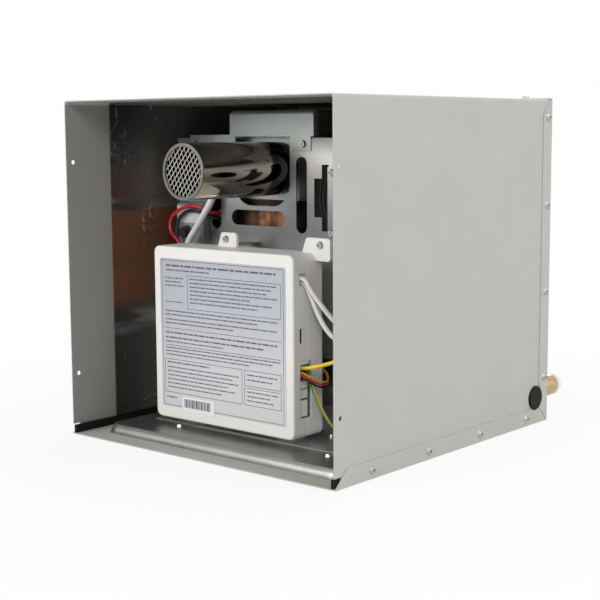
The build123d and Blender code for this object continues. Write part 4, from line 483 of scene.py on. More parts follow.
@dataclass(frozen=True)
class Foil(Finish):
    """Thin foil glued over insulation: creases and scratches, a painted reflection of the copper across its
    middle, painted highlight lines and creases, and painted light towards the back; fresher on the right.
    """

    colour: Colour = (0.04, 0.039, 0.036)
    # the colour of a painted reflection of the copper exchanger
    stain: Colour = (0.21, 0.082, 0.034)
    # the colour of real scratches and of painted highlights on creases and along two lines
    scratch_and_highlight: Colour = (0.5, 0.46, 0.5)
    roughness: float = 0.45
    crease: float = 0.0008
    silver: Colour = (0.62, 0.61, 0.59)
    fresh: float = 0.0
    fresh_side: Span = (-0.02, 0.02)
    metallic: float = 0.45
    waves: Patches = Patches(0.05, 2.0, 0.8)
    ridges: Patches = Patches(0.045, 3.0, 2.4, (1.0, 0.8, 1.3))
    ridge_width: float = 0.016
    folded: Span = (0.46, 0.58)
    fold_share: float = 0.25
    drift: Patches = Patches(0.09, 3.0, 1.0)
    wander: float = 0.022
    # where the bare foil is drawn lighter towards the back, as painted light
    painted_light_back: Span = (-0.12, -0.01)
    painted_light_factor: float = 5.0
    # stained and upper: the heights of the painted copper reflection
    stained: Band = (0.108, 0.128, 0.2105, 0.2145)
    upper: Band = (0.216, 0.224, 0.224, 0.262)
    upper_share: float = 0.3
    # two painted highlight lines, by height; the upper one a painted reflection of the white sleeve
    bright: tuple[Band, Band] = ((0.2105, 0.215, 0.218, 0.226), (0.086, 0.1, 0.106, 0.114))
    bright_grain: Span = (0.42, 0.62)
    bright_share: float = 0.6
    grain: Patches = Patches(0.02, 3.0, 0.4, (1.0, 0.15, 1.0))
    copper_reflection_grain: Mapped = (0.2, 0.7, 0.55, 1.0)
    fresh_grain: Mapped = (0.2, 0.6, 0.8, 1.0)
    scratches: Patches = Patches(0.0022, 2.0, 0.3, (1.0, 0.4, 0.16))
    scratched: Span = (0.67, 0.72)
    scratched_waves: Span = (0.45, 0.6)
    scratch_share: float = 0.6
    fold_highlight: float = 0.3
    rougher: float = 0.1
    uneven: float = 0.2

    def sockets(self, graph: Graph) -> Sockets:
        """Writes the finish's nodes.

        Args:
            graph: the material's nodes.

        Returns:
            The surface shader's inputs.
        """
        wave = graph.noise(self.waves)
        ridge = abs(graph.noise(self.ridges) - 0.5)
        folds = ridge.ramp(0.0, self.ridge_width, 1.0, 0.0) * wave.ramp(*self.folded)
        height = wave * (1.0 - self.fold_share) + folds * self.fold_share
        level = graph.wandering(Axis.Z, self.drift, self.wander)
        grain = graph.noise(self.grain)
        # band and upper: a painted reflection of the copper exchanger across the wall's middle
        band = level.band(self.stained)
        upper = level.band(self.upper) * self.upper_share
        # two painted highlight lines across the foil
        upper_line, lower_line = (level.band(limits) for limits in self.bright)
        highlight_lines = (upper_line + lower_line) * grain.ramp(*self.bright_grain) * self.bright_share
        scratch = graph.noise(self.scratches).ramp(*self.scratched) * wave.ramp(*self.scratched_waves)
        # real scratches, with painted highlights on the creases
        marks = scratch * self.scratch_share + folds * self.fold_highlight
        # painted light: the bare foil is drawn lighter towards the back of the case
        painted_light_back = graph.along(Axis.Y).ramp(*self.painted_light_back)
        bare = graph.blend(painted_light_back, self.colour, shade(self.colour, self.painted_light_factor))
        ground = graph.blend(band * grain.ramp(*self.copper_reflection_grain) + upper, bare, self.stain)
        aged = graph.blend(marks, graph.blend(highlight_lines, ground, self.scratch_and_highlight), self.scratch_and_highlight)
        clean = graph.along(Axis.X).ramp(*self.fresh_side) * self.fresh * grain.ramp(*self.fresh_grain)
        return {"Base Color": graph.blend(clean, aged, self.silver),
                "Metallic": self.metallic,
                "Roughness": self.roughness + band * self.rougher + grain.swing(self.uneven),
                "Normal": graph.bump(height, self.crease)}


@dataclass(frozen=True)
class Galvanised(Finish):
    """Zinc-coated sheet: a faint spangle, rolling lines and brighter sheared edges."""

    colour: Colour = (0.5, 0.5, 0.5)
    roughness: float = 0.38
    metallic: float = 0.85
    spangle: float = 0.014
    spangle_share: float = 0.12
    rolling: Patches = Patches(0.004, 3.0, 0.0, (0.12, 1.0, 1.0))
    rolling_share: float = 0.43
    clouds: Patches = Patches(0.07)
    cloud_share: float = 0.45
    toned: Span = (0.25, 0.75)
    factors: Span = (0.92, 1.07)
    sheared: Colour = (0.74, 0.75, 0.76)
    shear: float = 0.0007
    shear_share: float = 0.35
    shear_gloss: float = 0.1
    uneven: float = 0.05
    relief: Span = (0.00003, 0.5)

    def sockets(self, graph: Graph) -> Sockets:
        """Writes the finish's nodes.

        Args:
            graph: the material's nodes.

        Returns:
            The surface shader's inputs.
        """
        crystal = graph.part(graph.cells(self.spangle, "Color"), Axis.X)
        rolled = graph.noise(self.rolling)
        cloud = graph.noise(self.clouds)
        tone = crystal * self.spangle_share + rolled * self.rolling_share + cloud * self.cloud_share
        ground = graph.tones(tone.ramp(*self.toned), self.colour, self.factors)
        edge = graph.edges(self.shear)
        return {"Base Color": graph.blend(edge * self.shear_share, ground, self.sheared),
                "Metallic": self.metallic,
                "Roughness": self.roughness + crystal.swing(self.uneven) - edge * self.shear_gloss,
                "Normal": graph.bump(rolled, *self.relief)}


@dataclass(frozen=True)
class Polished(Finish):
    """Polished tube or plated part: near a mirror, with faint buffing lines and finger marks."""

    colour: Colour = (0.7, 0.7, 0.7)
    roughness: float = 0.07
    ripple: float = 0.00006
    buffed_along: Point = (1.0, 0.06, 1.0)
    buffing: float = 0.0012
    buff_share: float = 0.05
    buff_rough: float = 0.03
    fingers: Patches = Patches(0.016, 4.0, 1.0)
    touched: Span = (0.54, 0.72)
    touch_share: float = 0.5
    touch_shade: float = 0.86
    touch_rough: float = 0.07
    dents: Patches = Patches(0.03, 1.0)
    dent_share: float = 0.8

    def sockets(self, graph: Graph) -> Sockets:
        """Writes the finish's nodes.

        Args:
            graph: the material's nodes.

        Returns:
            The surface shader's inputs.
        """
        buffed = graph.noise(Patches(self.buffing, by=self.buffed_along))
        marks = graph.noise(self.fingers).ramp(*self.touched)
        height = graph.noise(self.dents) * self.dent_share + buffed * self.buff_share
        touched = shade(self.colour, self.touch_shade)
        return {"Base Color": graph.blend(marks * self.touch_share, self.colour, touched),
                "Metallic": 1.0,
                "Roughness": self.roughness + marks * self.touch_rough + buffed * self.buff_rough,
                "Normal": graph.bump(height, self.ripple)}


@dataclass(frozen=True)
class TurnedTube(Polished):
    """Polished tube with a dull turned-in mouth, straw-tinted and then scorched towards the fire."""

    mouth: float = -0.1531
    lip: float = 0.0008
    dull: Colour = (0.17, 0.165, 0.15)
    dull_rough: float = 0.3
    straw: Colour = (0.42, 0.35, 0.25)
    straw_share: float = 0.5
    scorched: Colour = (0.05, 0.047, 0.042)
    drift: Patches = Patches(0.02)
    wander: float = 0.006
    warm: Span = (-0.1, -0.066)
    hot: Span = (-0.066, -0.06)

    def sockets(self, graph: Graph) -> Sockets:
        """Writes the finish's nodes.

        Args:
            graph: the material's nodes.

        Returns:
            The surface shader's inputs.
        """
        depth = graph.wandering(Axis.Y, self.drift, self.wander)
        edge = graph.along(Axis.Y).ramp(self.mouth + self.lip, self.mouth)
        warmed = depth.ramp(*self.warm) * self.straw_share
        tinted = graph.stained(super().sockets(graph), warmed, self.straw)
        burnt = graph.stained(tinted, depth.ramp(*self.hot), self.scorched)
        return graph.stained(burnt, edge, self.dull, self.dull_rough)


@dataclass(frozen=True)
class ShadedZinc(Galvanised):
    """Zinc-coated sheet with painted shade across its middle, at its top and on its foot's front edge."""

    # how dark the painted shade is
    dull: float = 0.36
    middle: Band = (0.16, 0.19, 0.192, 0.262)
    top: Span = (0.256, 0.288)
    foot_edge: float = -0.0995
    drift: Patches = Patches(0.05, 3.0, 0.6)
    wander: float = 0.02
    rougher: float = 0.08

    def sockets(self, graph: Graph) -> Sockets:
        """Writes the finish's nodes.

        Args:
            graph: the material's nodes.

        Returns:
            The surface shader's inputs.
        """
        # painted shade across the middle, at the top and along the foot's front edge; the lighter band left
        # just below the top stands for a painted highlight
        level = graph.wandering(Axis.Z, self.drift, self.wander)
        edge = graph.along(Axis.Y) < self.foot_edge
        painted_shade = level.band(self.middle) + edge + level.ramp(*self.top)
        return graph.stained(super().sockets(graph), painted_shade, shade(self.colour, self.dull), self.rougher)


@dataclass(frozen=True)
class PressedPan(Galvanised):
    """Zinc-coated pan whose pressed bends catch the light as round ones."""

    bend: float = 0.006
    samples: int = 8

    def sockets(self, graph: Graph) -> Sockets:
        """Writes the finish's nodes.

        Args:
            graph: the material's nodes.

        Returns:
            The surface shader's inputs.
        """
        inputs = super().sockets(graph)
        rounded = {"Radius": self.bend, "Normal": inputs["Normal"]}
        return inputs | {"Normal": graph.node("ShaderNodeBevel", {"samples": self.samples}, rounded)}


@dataclass(frozen=True)
class ShadedHoodZinc(Galvanised):
    """Zinc-coated sheet with painted shade, dark and brown in patches, behind the plate near the fire."""

    behind: Span = (-0.041, -0.035)
    beside: Span = (0.0035, 0.0075)
    # the colour of the painted shade
    burnt: Colour = (0.10, 0.09, 0.085)
    shade_noise: Patches = Patches(0.03, 3.0, 0.6)
    shade_noise_range: Mapped = (0.1, 0.8, 0.7, 1.0)
    rougher: float = 0.15

    def sockets(self, graph: Graph) -> Sockets:
        """Writes the finish's nodes.

        Args:
            graph: the material's nodes.

        Returns:
            The surface shader's inputs.
        """
        # painted shade on the hood behind the plate, right of the middle, broken into patches
        near = graph.along(Axis.Y).ramp(*self.behind) * graph.along(Axis.X).ramp(*self.beside)
        soot = near * graph.noise(self.shade_noise).ramp(*self.shade_noise_range)
        return graph.stained(super().sockets(graph), soot, self.burnt, self.rougher)


@dataclass(frozen=True)
class Bare(Finish):
    """Bare copper, brass or cast alloy: tarnish in patches and streaks, brighter where it is handled."""

    colour: Colour = (0.7, 0.4, 0.2)
    tarnish: Colour = (0.3, 0.15, 0.08)
    roughness: float = 0.3
    amount: float = 0.55
    grain: float = 0.0008
    streak: float = 0.0
    patches: Patches = Patches(0.022, 4.0, 1.4)
    tarnished: Span = (0.40, 0.72)
    runs: Patches = Patches(0.009, 3.0, 0.3, (1.0, 1.0, 0.08))
    run_down: Span = (0.38, 0.62)
    edge: float = 0.0008
    edge_share: float = 0.4
    edge_shade: float = 1.2
    aged_rough: float = 0.2
    uneven: float = 0.1
    relief: Span = (0.00003, 0.6)

    def sockets(self, graph: Graph) -> Sockets:
        """Writes the finish's nodes.

        Args:
            graph: the material's nodes.

        Returns:
            The surface shader's inputs.
        """
        runs = graph.noise(self.runs).ramp(*self.run_down) * self.streak
        aged = graph.noise(self.patches).ramp(*self.tarnished) * self.amount + runs
        speck = graph.noise(Patches(self.grain))
        bright = graph.edges(self.edge) * self.edge_share
        ground = graph.blend(aged, self.colour, self.tarnish)
        return {"Base Color": graph.blend(bright, ground, shade(self.colour, self.edge_shade)),
                "Metallic": 1.0,
                "Roughness": self.roughness + aged * self.aged_rough + speck.swing(self.uneven),
                "Normal": graph.bump(speck, *self.relief)}


@dataclass(frozen=True)
class DarkenedCopper(Bare):
    """Copper sheet, darker to the left of a fold, a little to its right and at its end, with painted shade
    at its top behind the exhaust tube.
    """

    fold: float = -0.040
    end: float = -0.006
    top: float = 0.2125
    fade: float = 0.006
    top_fade: float = 0.003
    # the colour of the darkening; at the top it is painted shade
    soot: Colour = (0.03, 0.026, 0.02)
    left_share: float = 0.85
    near_share: float = 0.3
    top_share: float = 0.9
    drift: Patches = Patches(0.012, 3.0)
    wander: float = 0.004
    rougher: float = 0.2

    def sockets(self, graph: Graph) -> Sockets:
        """Writes the finish's nodes.

        Args:
            graph: the material's nodes.

        Returns:
            The surface shader's inputs.
        """
        across = graph.wandering(Axis.X, self.drift, self.wander)
        near = self.fold + self.fade
        # darker to the left of the fold, a little to its right and past its end; above its top, painted
        # shade behind the tube
        sooted = (across.ramp(self.fold, self.fold - self.fade) * self.left_share,
                  across.ramp(near, near + self.fade) * self.near_share,
                  across.ramp(self.end, self.end + self.fade),
                  graph.along(Axis.Z).ramp(self.top, self.top + self.top_fade) * self.top_share)
        left, right, last, above = (1.0 - mask for mask in sooted)
        soot = 1.0 - left * right * last * above
        return graph.stained(super().sockets(graph), soot, self.soot, self.rougher)


@dataclass(frozen=True)
class CrossHead(Finish):
    """A plated screw with painted shade in its recess."""

    plating: Finish
    depth: float = 0.0012
    painted_recess_shade: Colour = (0.015, 0.015, 0.014)
    shaded: Span = (0.85, 0.45)
    samples: int = 8

    def sockets(self, graph: Graph) -> Sockets:
        """Writes the finish's nodes.

        Args:
            graph: the material's nodes.

        Returns:
            The surface shader's inputs.
        """
        settings = {"samples": self.samples, "only_local": True}
        # painted shade: ambient occlusion darkens the recess
        open_sky = graph.node("ShaderNodeAmbientOcclusion", settings, {"Distance": self.depth}, "AO")
        return graph.stained(self.plating.sockets(graph), open_sky.ramp(*self.shaded), self.painted_recess_shade)


@dataclass(frozen=True)
class Moulded(Finish):
    """Moulded plastic: a fine spark-eroded grain, flow marks and a little dust."""

    colour: Colour = (0.8, 0.8, 0.8)
    roughness: float = 0.5
    grain: float = 0.0007
    depth: float = 0.00003
    dust: Colour = (0.45, 0.42, 0.37)
    sheen: float = 0.4
    flow: Patches = Patches(0.05, 2.0, 0.8)
    factors: Span = (0.97, 1.03)
    grime: Patches = Patches(0.018, 4.0)
    grimy: Mapped = (0.58, 0.78, 0.0, 0.10)
    grime_rough: float = 0.4
    uneven: float = 0.14

    def sockets(self, graph: Graph) -> Sockets:
        """Writes the finish's nodes.

        Args:
            graph: the material's nodes.

        Returns:
            The surface shader's inputs.
        """
        texture = graph.noise(Patches(self.grain))
        grime = graph.noise(self.grime).ramp(*self.grimy)
        ground = graph.tones(graph.noise(self.flow), self.colour, self.factors)
        return {"Base Color": graph.blend(grime, ground, self.dust),
                "Roughness": self.roughness + texture.swing(self.uneven) + grime * self.grime_rough,
                "Normal": graph.bump(texture, self.depth),
                "Specular IOR Level": self.sheen}


@dataclass(frozen=True)
class PlugBodies(Moulded):
    """A row of moulded plug bodies: a dark one among white ones, with dark joints below it."""

    dark: Colour = (0.11, 0.11, 0.115)
    low: float = 0.0672
    high: float = 0.083
    joints: tuple[float, ...] = (0.0502, 0.0597)
    gap: float = 0.0005

    def sockets(self, graph: Graph) -> Sockets:
        """Writes the finish's nodes.

        Args:
            graph: the material's nodes.

        Returns:
            The surface shader's inputs.
        """
        level = graph.along(Axis.Z)
        shaded = (level > self.low) * (level < self.high)
        for joint in self.joints:
            shaded = shaded + (abs(level - joint) < self.gap)
        return graph.stained(super().sockets(graph), shaded, self.dark)


@dataclass(frozen=True)
class Glazed(Finish):
    """Glazed ceramic: a clear coat over a speckled and sooted body."""

    colour: Colour = (0.85, 0.83, 0.78)
    roughness: float = 0.3
    coat: float = 0.6
    specks: Patches = Patches(0.0009)
    specked: Mapped = (0.66, 0.72, 0.0, 0.4)
    speck_shade: float = 0.55
    soot: Patches = Patches(0.008, 3.0)
    sooted: Mapped = (0.5, 0.8, 0.0, 0.35)
    soot_shade: float = 0.4
    soot_rough: float = 0.4
    waves: Patches = Patches(0.004)
    wave_depth: float = 0.00004

    def sockets(self, graph: Graph) -> Sockets:
        """Writes the finish's nodes.

        Args:
            graph: the material's nodes.

        Returns:
            The surface shader's inputs.
        """
        speck = graph.noise(self.specks).ramp(*self.specked)
        soot = graph.noise(self.soot).ramp(*self.sooted)
        ground = graph.blend(soot, self.colour, shade(self.colour, self.soot_shade))
        return {"Base Color": graph.blend(speck, ground, shade(self.colour, self.speck_shade)),
                "Roughness": self.roughness + soot * self.soot_rough,
                "Coat Weight": self.coat,
                "Normal": graph.bump(graph.noise(self.waves), self.wave_depth)}


@dataclass(frozen=True)
class ClearPlastic(Finish):
    """Thin clear plastic: milky at its moulded ridges."""

    colour: Colour = (0.55, 0.55, 0.54)
    roughness: float = 0.1
    alpha: float = 0.15
    haze: Patches = Patches(0.006, 3.0)
    factors: Span = (0.94, 1.0)
    haze_rough: float = 0.12
    haze_alpha: float = 0.08
    ridge: float = 0.0012
    ridge_alpha: float = 0.35
    relief: Span = (0.00006, 0.5)

    def sockets(self, graph: Graph) -> Sockets:
        """Writes the finish's nodes.

        Args:
            graph: the material's nodes.

        Returns:
            The surface shader's inputs.
        """
        haze = graph.noise(self.haze)
        ridge = graph.edges(self.ridge)
        return {"Base Color": graph.tones(haze, self.colour, self.factors),
                "Roughness": self.roughness + haze * self.haze_rough,
                "Alpha": self.alpha + ridge * self.ridge_alpha + haze.swing(self.haze_alpha),
                "Normal": graph.bump(haze, *self.relief)}


@dataclass(frozen=True)
class Insulation(Finish):
    """Wire insulation: glossy plastic with draw marks and finger grease."""

    colour: Colour = (0.5, 0.0, 0.0)
    roughness: float = 0.32
    draw: Patches = Patches(0.0016)
    uneven: float = 0.2
    relief: Span = (0.00005, 0.6)
    grease: Patches = Patches(0.012)
    factors: Span = (0.9, 1.08)

    def sockets(self, graph: Graph) -> Sockets:
        """Writes the finish's nodes.

        Args:
            graph: the material's nodes.

        Returns:
            The surface shader's inputs.
        """
        drawn = graph.noise(self.draw)
        return {"Base Color": graph.tones(graph.noise(self.grease), self.colour, self.factors),
                "Roughness": self.roughness + drawn.swing(self.uneven),
                "Normal": graph.bump(drawn, *self.relief)}


@dataclass(frozen=True)
class StripedInsulation(Insulation):
    """Earth wire: green insulation with a yellow stripe on two sides."""

    colour: Colour = (0.03, 0.22, 0.06)
    stripe: Colour = (0.75, 0.58, 0.05)
    stripe_way: Point = (0.85, -0.25, 0.46)
    striped: Span = (0.55, 0.66)

    def sockets(self, graph: Graph) -> Sockets:
        """Writes the finish's nodes.

        Args:
            graph: the material's nodes.

        Returns:
            The surface shader's inputs.
        """
        side = abs(graph.facing(graph.normal(), self.stripe_way)).ramp(*self.striped)
        return super().sockets(graph) | {"Base Color": graph.blend(side, self.colour, self.stripe)}


@dataclass(frozen=True)
class Laminate(Finish):
    """Circuit board: green lacquer over copper tracks and pale pads."""

    colour: Colour = (0.015, 0.20, 0.075)
    track: Colour = (0.04, 0.32, 0.14)
    track_shift: float = 0.37
    tracks_per_metre: float = 110.0
    track_gap: float = 0.12
    pad: Colour = (0.6, 0.58, 0.5)
    pad_pitch: float = 0.0052
    pad_reach: float = 0.16
    pad_metal: float = 0.8
    roughness: float = 0.28
    lacquer: Patches = Patches(0.003)
    lacquer_rough: float = 0.14
    depth: float = 0.00006

    def sockets(self, graph: Graph) -> Sockets:
        """Writes the finish's nodes.

        Args:
            graph: the material's nodes.

        Returns:
            The surface shader's inputs.
        """
        laid = {"Vector": graph.place(), "Scale": self.tracks_per_metre, "Mortar Size": self.track_gap}
        runs = graph.node("ShaderNodeTexBrick", {"offset": self.track_shift}, laid, "Fac")
        spots = graph.cells(self.pad_pitch, "Distance") < self.pad_reach
        tracks = graph.blend(runs, self.colour, self.track)
        return {"Base Color": graph.blend(spots, tracks, self.pad),
                "Metallic": spots * self.pad_metal,
                "Roughness": self.roughness + graph.noise(self.lacquer) * self.lacquer_rough,
                "Normal": graph.bump(runs * 0.5 + spots * 0.5, self.depth)}


@dataclass(frozen=True)
class PrintedPlate(Finish):
    """Silver label stock, drawn darker and bluer towards its top as a painted reflection, with a white
    sticker that stands proud of it.
    """

    colour: Colour = (0.68, 0.685, 0.69)
    # upper: the colour of the painted reflection at the label's top
    upper: Colour = (0.46, 0.475, 0.52)
    paper: Colour = (0.86, 0.86, 0.85)
    front: float = -0.1104
    step: float = 0.0003
    brush: Patches = Patches(0.0009, 2.0, 0.0, (0.05, 1.0, 1.0))
    clouds: Patches = Patches(0.06)
    marks_share: float = 0.08
    marks_shade: float = 0.6
    metallic: float = 0.2
    roughness: float = 0.42
    brush_rough: float = 0.1
    paper_rough: float = 0.15
    relief: Span = (0.00001, 0.5)

    def sockets(self, graph: Graph) -> Sockets:
        """Writes the finish's nodes.

        Args:
            graph: the material's nodes.

        Returns:
            The surface shader's inputs.
        """
        proud = graph.along(Axis.Y) < self.front - self.step / 2
        brushed = graph.noise(self.brush)
        marks = (graph.noise(self.clouds) + brushed) * self.marks_share
        # painted reflection: the silver stock is drawn darker and bluer towards its top
        stock = graph.blend(graph.along(Axis.Z).ramp(LABEL_FOOT, LABEL_TOP), self.colour, self.upper)
        foil = graph.blend(marks, stock, shade(self.upper, self.marks_shade))
        return {"Base Color": graph.blend(proud, foil, self.paper),
                "Metallic": self.metallic - proud * self.metallic,
                "Roughness": self.roughness + brushed * self.brush_rough + proud * self.paper_rough,
                "Normal": graph.bump(brushed, *self.relief)}


@dataclass(frozen=True)
class SparkCase(Finish):
    """Pale moulded case with a blank paper label, and a black rubber boot in front of it."""

    colour: Colour = (0.36, 0.37, 0.38)
    factors: Span = (0.9, 1.1)
    paper: Colour = (0.80, 0.80, 0.80)
    boot: Colour = (0.02, 0.02, 0.02)
    face: float = -0.052
    face_slack: float = 0.0001
    label_foot: float = 0.196
    grain: Patches = Patches(0.0008)
    grain_depth: float = 0.00003
    clouds: Patches = Patches(0.02, 3.0)
    roughness: float = 0.42
    uneven: float = 0.16
    paper_rough: float = 0.12

    def sockets(self, graph: Graph) -> Sockets:
        """Writes the finish's nodes.

        Args:
            graph: the material's nodes.

        Returns:
            The surface shader's inputs.
        """
        depth = graph.along(Axis.Y)
        rubber = depth < self.face - self.face_slack
        label = (depth < self.face + self.face_slack) * (graph.along(Axis.Z) > self.label_foot)
        texture = graph.noise(self.grain)
        ground = graph.tones(graph.noise(self.clouds), self.colour, self.factors)
        return {"Base Color": graph.blend(rubber, graph.blend(label, ground, self.paper), self.boot),
                "Roughness": self.roughness + texture.swing(self.uneven) + label * self.paper_rough,
                "Normal": graph.bump(texture, self.grain_depth)}


@dataclass(frozen=True)
class Ink(Finish):
    """Printing ink, a little starved in places."""

    colour: Colour = (0.09, 0.09, 0.12)
    ground: Colour = (0.4, 0.41, 0.46)
    patches: Patches = Patches(0.0007)
    starved: Mapped = (0.58, 0.76, 0.0, 0.5)
    roughness: float = 0.5
    rougher: float = 0.1

    def sockets(self, graph: Graph) -> Sockets:
        """Writes the finish's nodes.

        Args:
            graph: the material's nodes.

        Returns:
            The surface shader's inputs.
        """
        starved = graph.noise(self.patches).ramp(*self.starved)
        return {"Base Color": graph.blend(starved, self.colour, self.ground),
                "Roughness": self.roughness + starved * self.rougher}


class Shelf:
    """Keeps one material for each finish."""

    def __init__(self) -> None:
        """Starts empty."""
        self.made: dict[Finish, bpy.types.Material] = {}

    def take(self, finish: Finish) -> bpy.types.Material:
        """The finish's material, made on first use.

        Args:
            finish: the finish.

        Returns:
            Its material.
        """
        if finish not in self.made:
            self.made[finish] = finish.material()
        return self.made[finish]


GREY_PAINT = Paint("case_grey_paint", (0.50, 0.497, 0.465))
TRAY_STEEL = PressedPan("tray_bright_steel", (0.31, 0.31, 0.30), 0.34, metallic=0.92)
WALL_FOIL = Foil("liner_foil", fresh=1.0)
ROOF_FOIL = Foil("roof_liner_foil", (0.10, 0.098, 0.09), stain=(0.10, 0.08, 0.06), scratch_and_highlight=(0.3, 0.3, 0.3),
                 roughness=0.5)
ZINC = ShadedZinc("galvanised_plate", (0.55, 0.56, 0.56))
HOOD_ZINC = ShadedHoodZinc("hood_aluminised", (0.36, 0.385, 0.375), 0.36, metallic=0.75)
SCREW_ZINC = Galvanised("case_screw_zinc", (0.44, 0.44, 0.42), 0.42, metallic=0.8, spangle=0.004)
CASE_SCREW = CrossHead("case_screw", SCREW_ZINC)
DUCT_ZINC = Galvanised("duct_galvanised", (0.55, 0.57, 0.59), 0.42)
PLATED = Polished("screw_bright_zinc", (0.46, 0.46, 0.44), 0.3, ripple=0.00003, buffed_along=EVEN)
PLATE_SCREW = CrossHead("plate_screw", PLATED)
STAINLESS = TurnedTube("tube_polished_stainless", (0.63, 0.59, 0.505), 0.05)
SCREEN_METAL = Polished("screen_expanded_steel", (0.58, 0.56, 0.51), 0.42, ripple=0.00004,
                        buffed_along=EVEN)
COPPER = Bare("copper_sheet", (0.60, 0.29, 0.17), (0.13, 0.06, 0.035), streak=0.55)
SHELL_COPPER = DarkenedCopper("exchanger_copper", COPPER.colour, COPPER.tarnish, streak=COPPER.streak)
BURNER = Bare("burner_steel", (0.42, 0.42, 0.43), (0.16, 0.12, 0.10), 0.4)
ALLOY = Bare("valve_cast_alloy", (0.60, 0.60, 0.58), (0.36, 0.36, 0.35), 0.45, amount=0.4, grain=0.0012)
BRASS = Bare("fitting_brass", (0.66, 0.43, 0.14), (0.30, 0.17, 0.05), 0.12, amount=0.4)
PORCELAIN = Glazed("electrode_ceramic")
CLEAR = ClearPlastic("cap_clear")
OFF_WHITE = Moulded("control_off_white", (0.83, 0.82, 0.785), 0.46)
BLACK_RUBBER = Moulded("seal_black_rubber", (0.008, 0.008, 0.008), 0.6, grain=0.0009, depth=0.00005,
                       dust=(0.05, 0.045, 0.04), sheen=0.15)
BLACK_NYLON = Moulded("blower_black_nylon", (0.006, 0.006, 0.0065), 0.4, grain=0.0009, depth=0.00005,
                      dust=(0.03, 0.028, 0.025), sheen=0.12)
RIB_NYLON = Moulded("blower_rib_nylon", (0.010, 0.010, 0.011), 0.35, grain=0.0009, depth=0.00005,
                    dust=(0.03, 0.028, 0.025))
COIL_NYLON = Moulded("coil_black_nylon", (0.05, 0.05, 0.055), 0.45)
GREY_NYLON = Moulded("meter_grey_nylon", (0.07, 0.07, 0.075), 0.5)
PALE_NYLON = Moulded("turbine_pale_nylon", (0.78, 0.78, 0.75), 0.4)
PLUG_NYLON = PlugBodies("plug_white_nylon", (0.90, 0.90, 0.87), 0.38)
BOARD = Laminate("circuit_board_lacquer")
PLATE_STOCK = PrintedPlate("label_silver_stock")
SPARK_CASE = SparkCase("spark_unit_case")
INK = Ink("label_dark_ink")
RED_WIRE = Insulation("wire_red_insulation", (0.52, 0.015, 0.02), 0.25)
BLACK_WIRE = Insulation("wire_black_insulation", (0.010, 0.010, 0.010), 0.42)
WHITE_CABLE = Insulation("wire_white_insulation", (0.72, 0.71, 0.67), 0.34)
SLEEVING = Insulation("sleeve_white_silicone", (0.85, 0.84, 0.89), 0.4)
YELLOW_WIRE = Insulation("wire_yellow_insulation", (0.86, 0.62, 0.02), 0.32)
ORANGE_WIRE = Insulation("wire_orange_insulation", (0.62, 0.33, 0.03), 0.34)
EARTH_WIRE = StripedInsulation("wire_earth_insulation")


@dataclass(frozen=True)
class ViewPoint:
    """The photo's camera: where it stands and which way it looks."""

    position: Point = (0.7868, -0.9489, 0.2836)
    azimuth: float = 40.272
    elevation: float = 7.396
    roll: float = -0.328
    lens: float = 77.81
    sensor: float = 36.0
    nearest: float = 0.01

    def build(self) -> None:
        """Makes the scene's camera."""
        round_z, lift, lean = (math.radians(angle) for angle in (self.azimuth, self.elevation, self.roll))
        right = Vector((math.cos(round_z), math.sin(round_z), 0.0))
        level = Vector((math.sin(round_z), -math.cos(round_z), 0.0))
        back = level * math.cos(lift) + Vector((0.0, 0.0, math.sin(lift)))
        up = back.cross(right)
        across = right * math.cos(lean) + up * math.sin(lean)
        upright = up * math.cos(lean) - right * math.sin(lean)
        data = bpy.data.cameras.new("photo_camera")
        data.lens = self.lens
        data.sensor_width = self.sensor
        data.clip_start = self.nearest
        camera = bpy.data.objects.new("photo_camera", data)
        facing = Matrix((across, upright, back)).transposed().to_4x4()
        camera.matrix_world = Matrix.Translation(self.position) @ facing
        bpy.context.scene.collection.objects.link(camera)
        bpy.context.scene.camera = camera


@dataclass(frozen=True)
class SoftBox:
    """A square area light that faces the object."""

    name: str
    position: Point
    size: float
    power: float
    target: Point = (0.0, -0.05, 0.14)

    def build(self) -> None:
        """Hangs the light."""
        data = bpy.data.lights.new(self.name, "AREA")
        data.size = self.size
        data.energy = self.power
        lamp = bpy.data.objects.new(self.name, data)
        away = Vector(self.position) - Vector(self.target)
        facing = away.to_track_quat("Z", "Y").to_matrix().to_4x4()
        lamp.matrix_world = Matrix.Translation(self.position) @ facing
        bpy.context.scene.collection.objects.link(lamp)
        LOG.info("light %s", self.name)


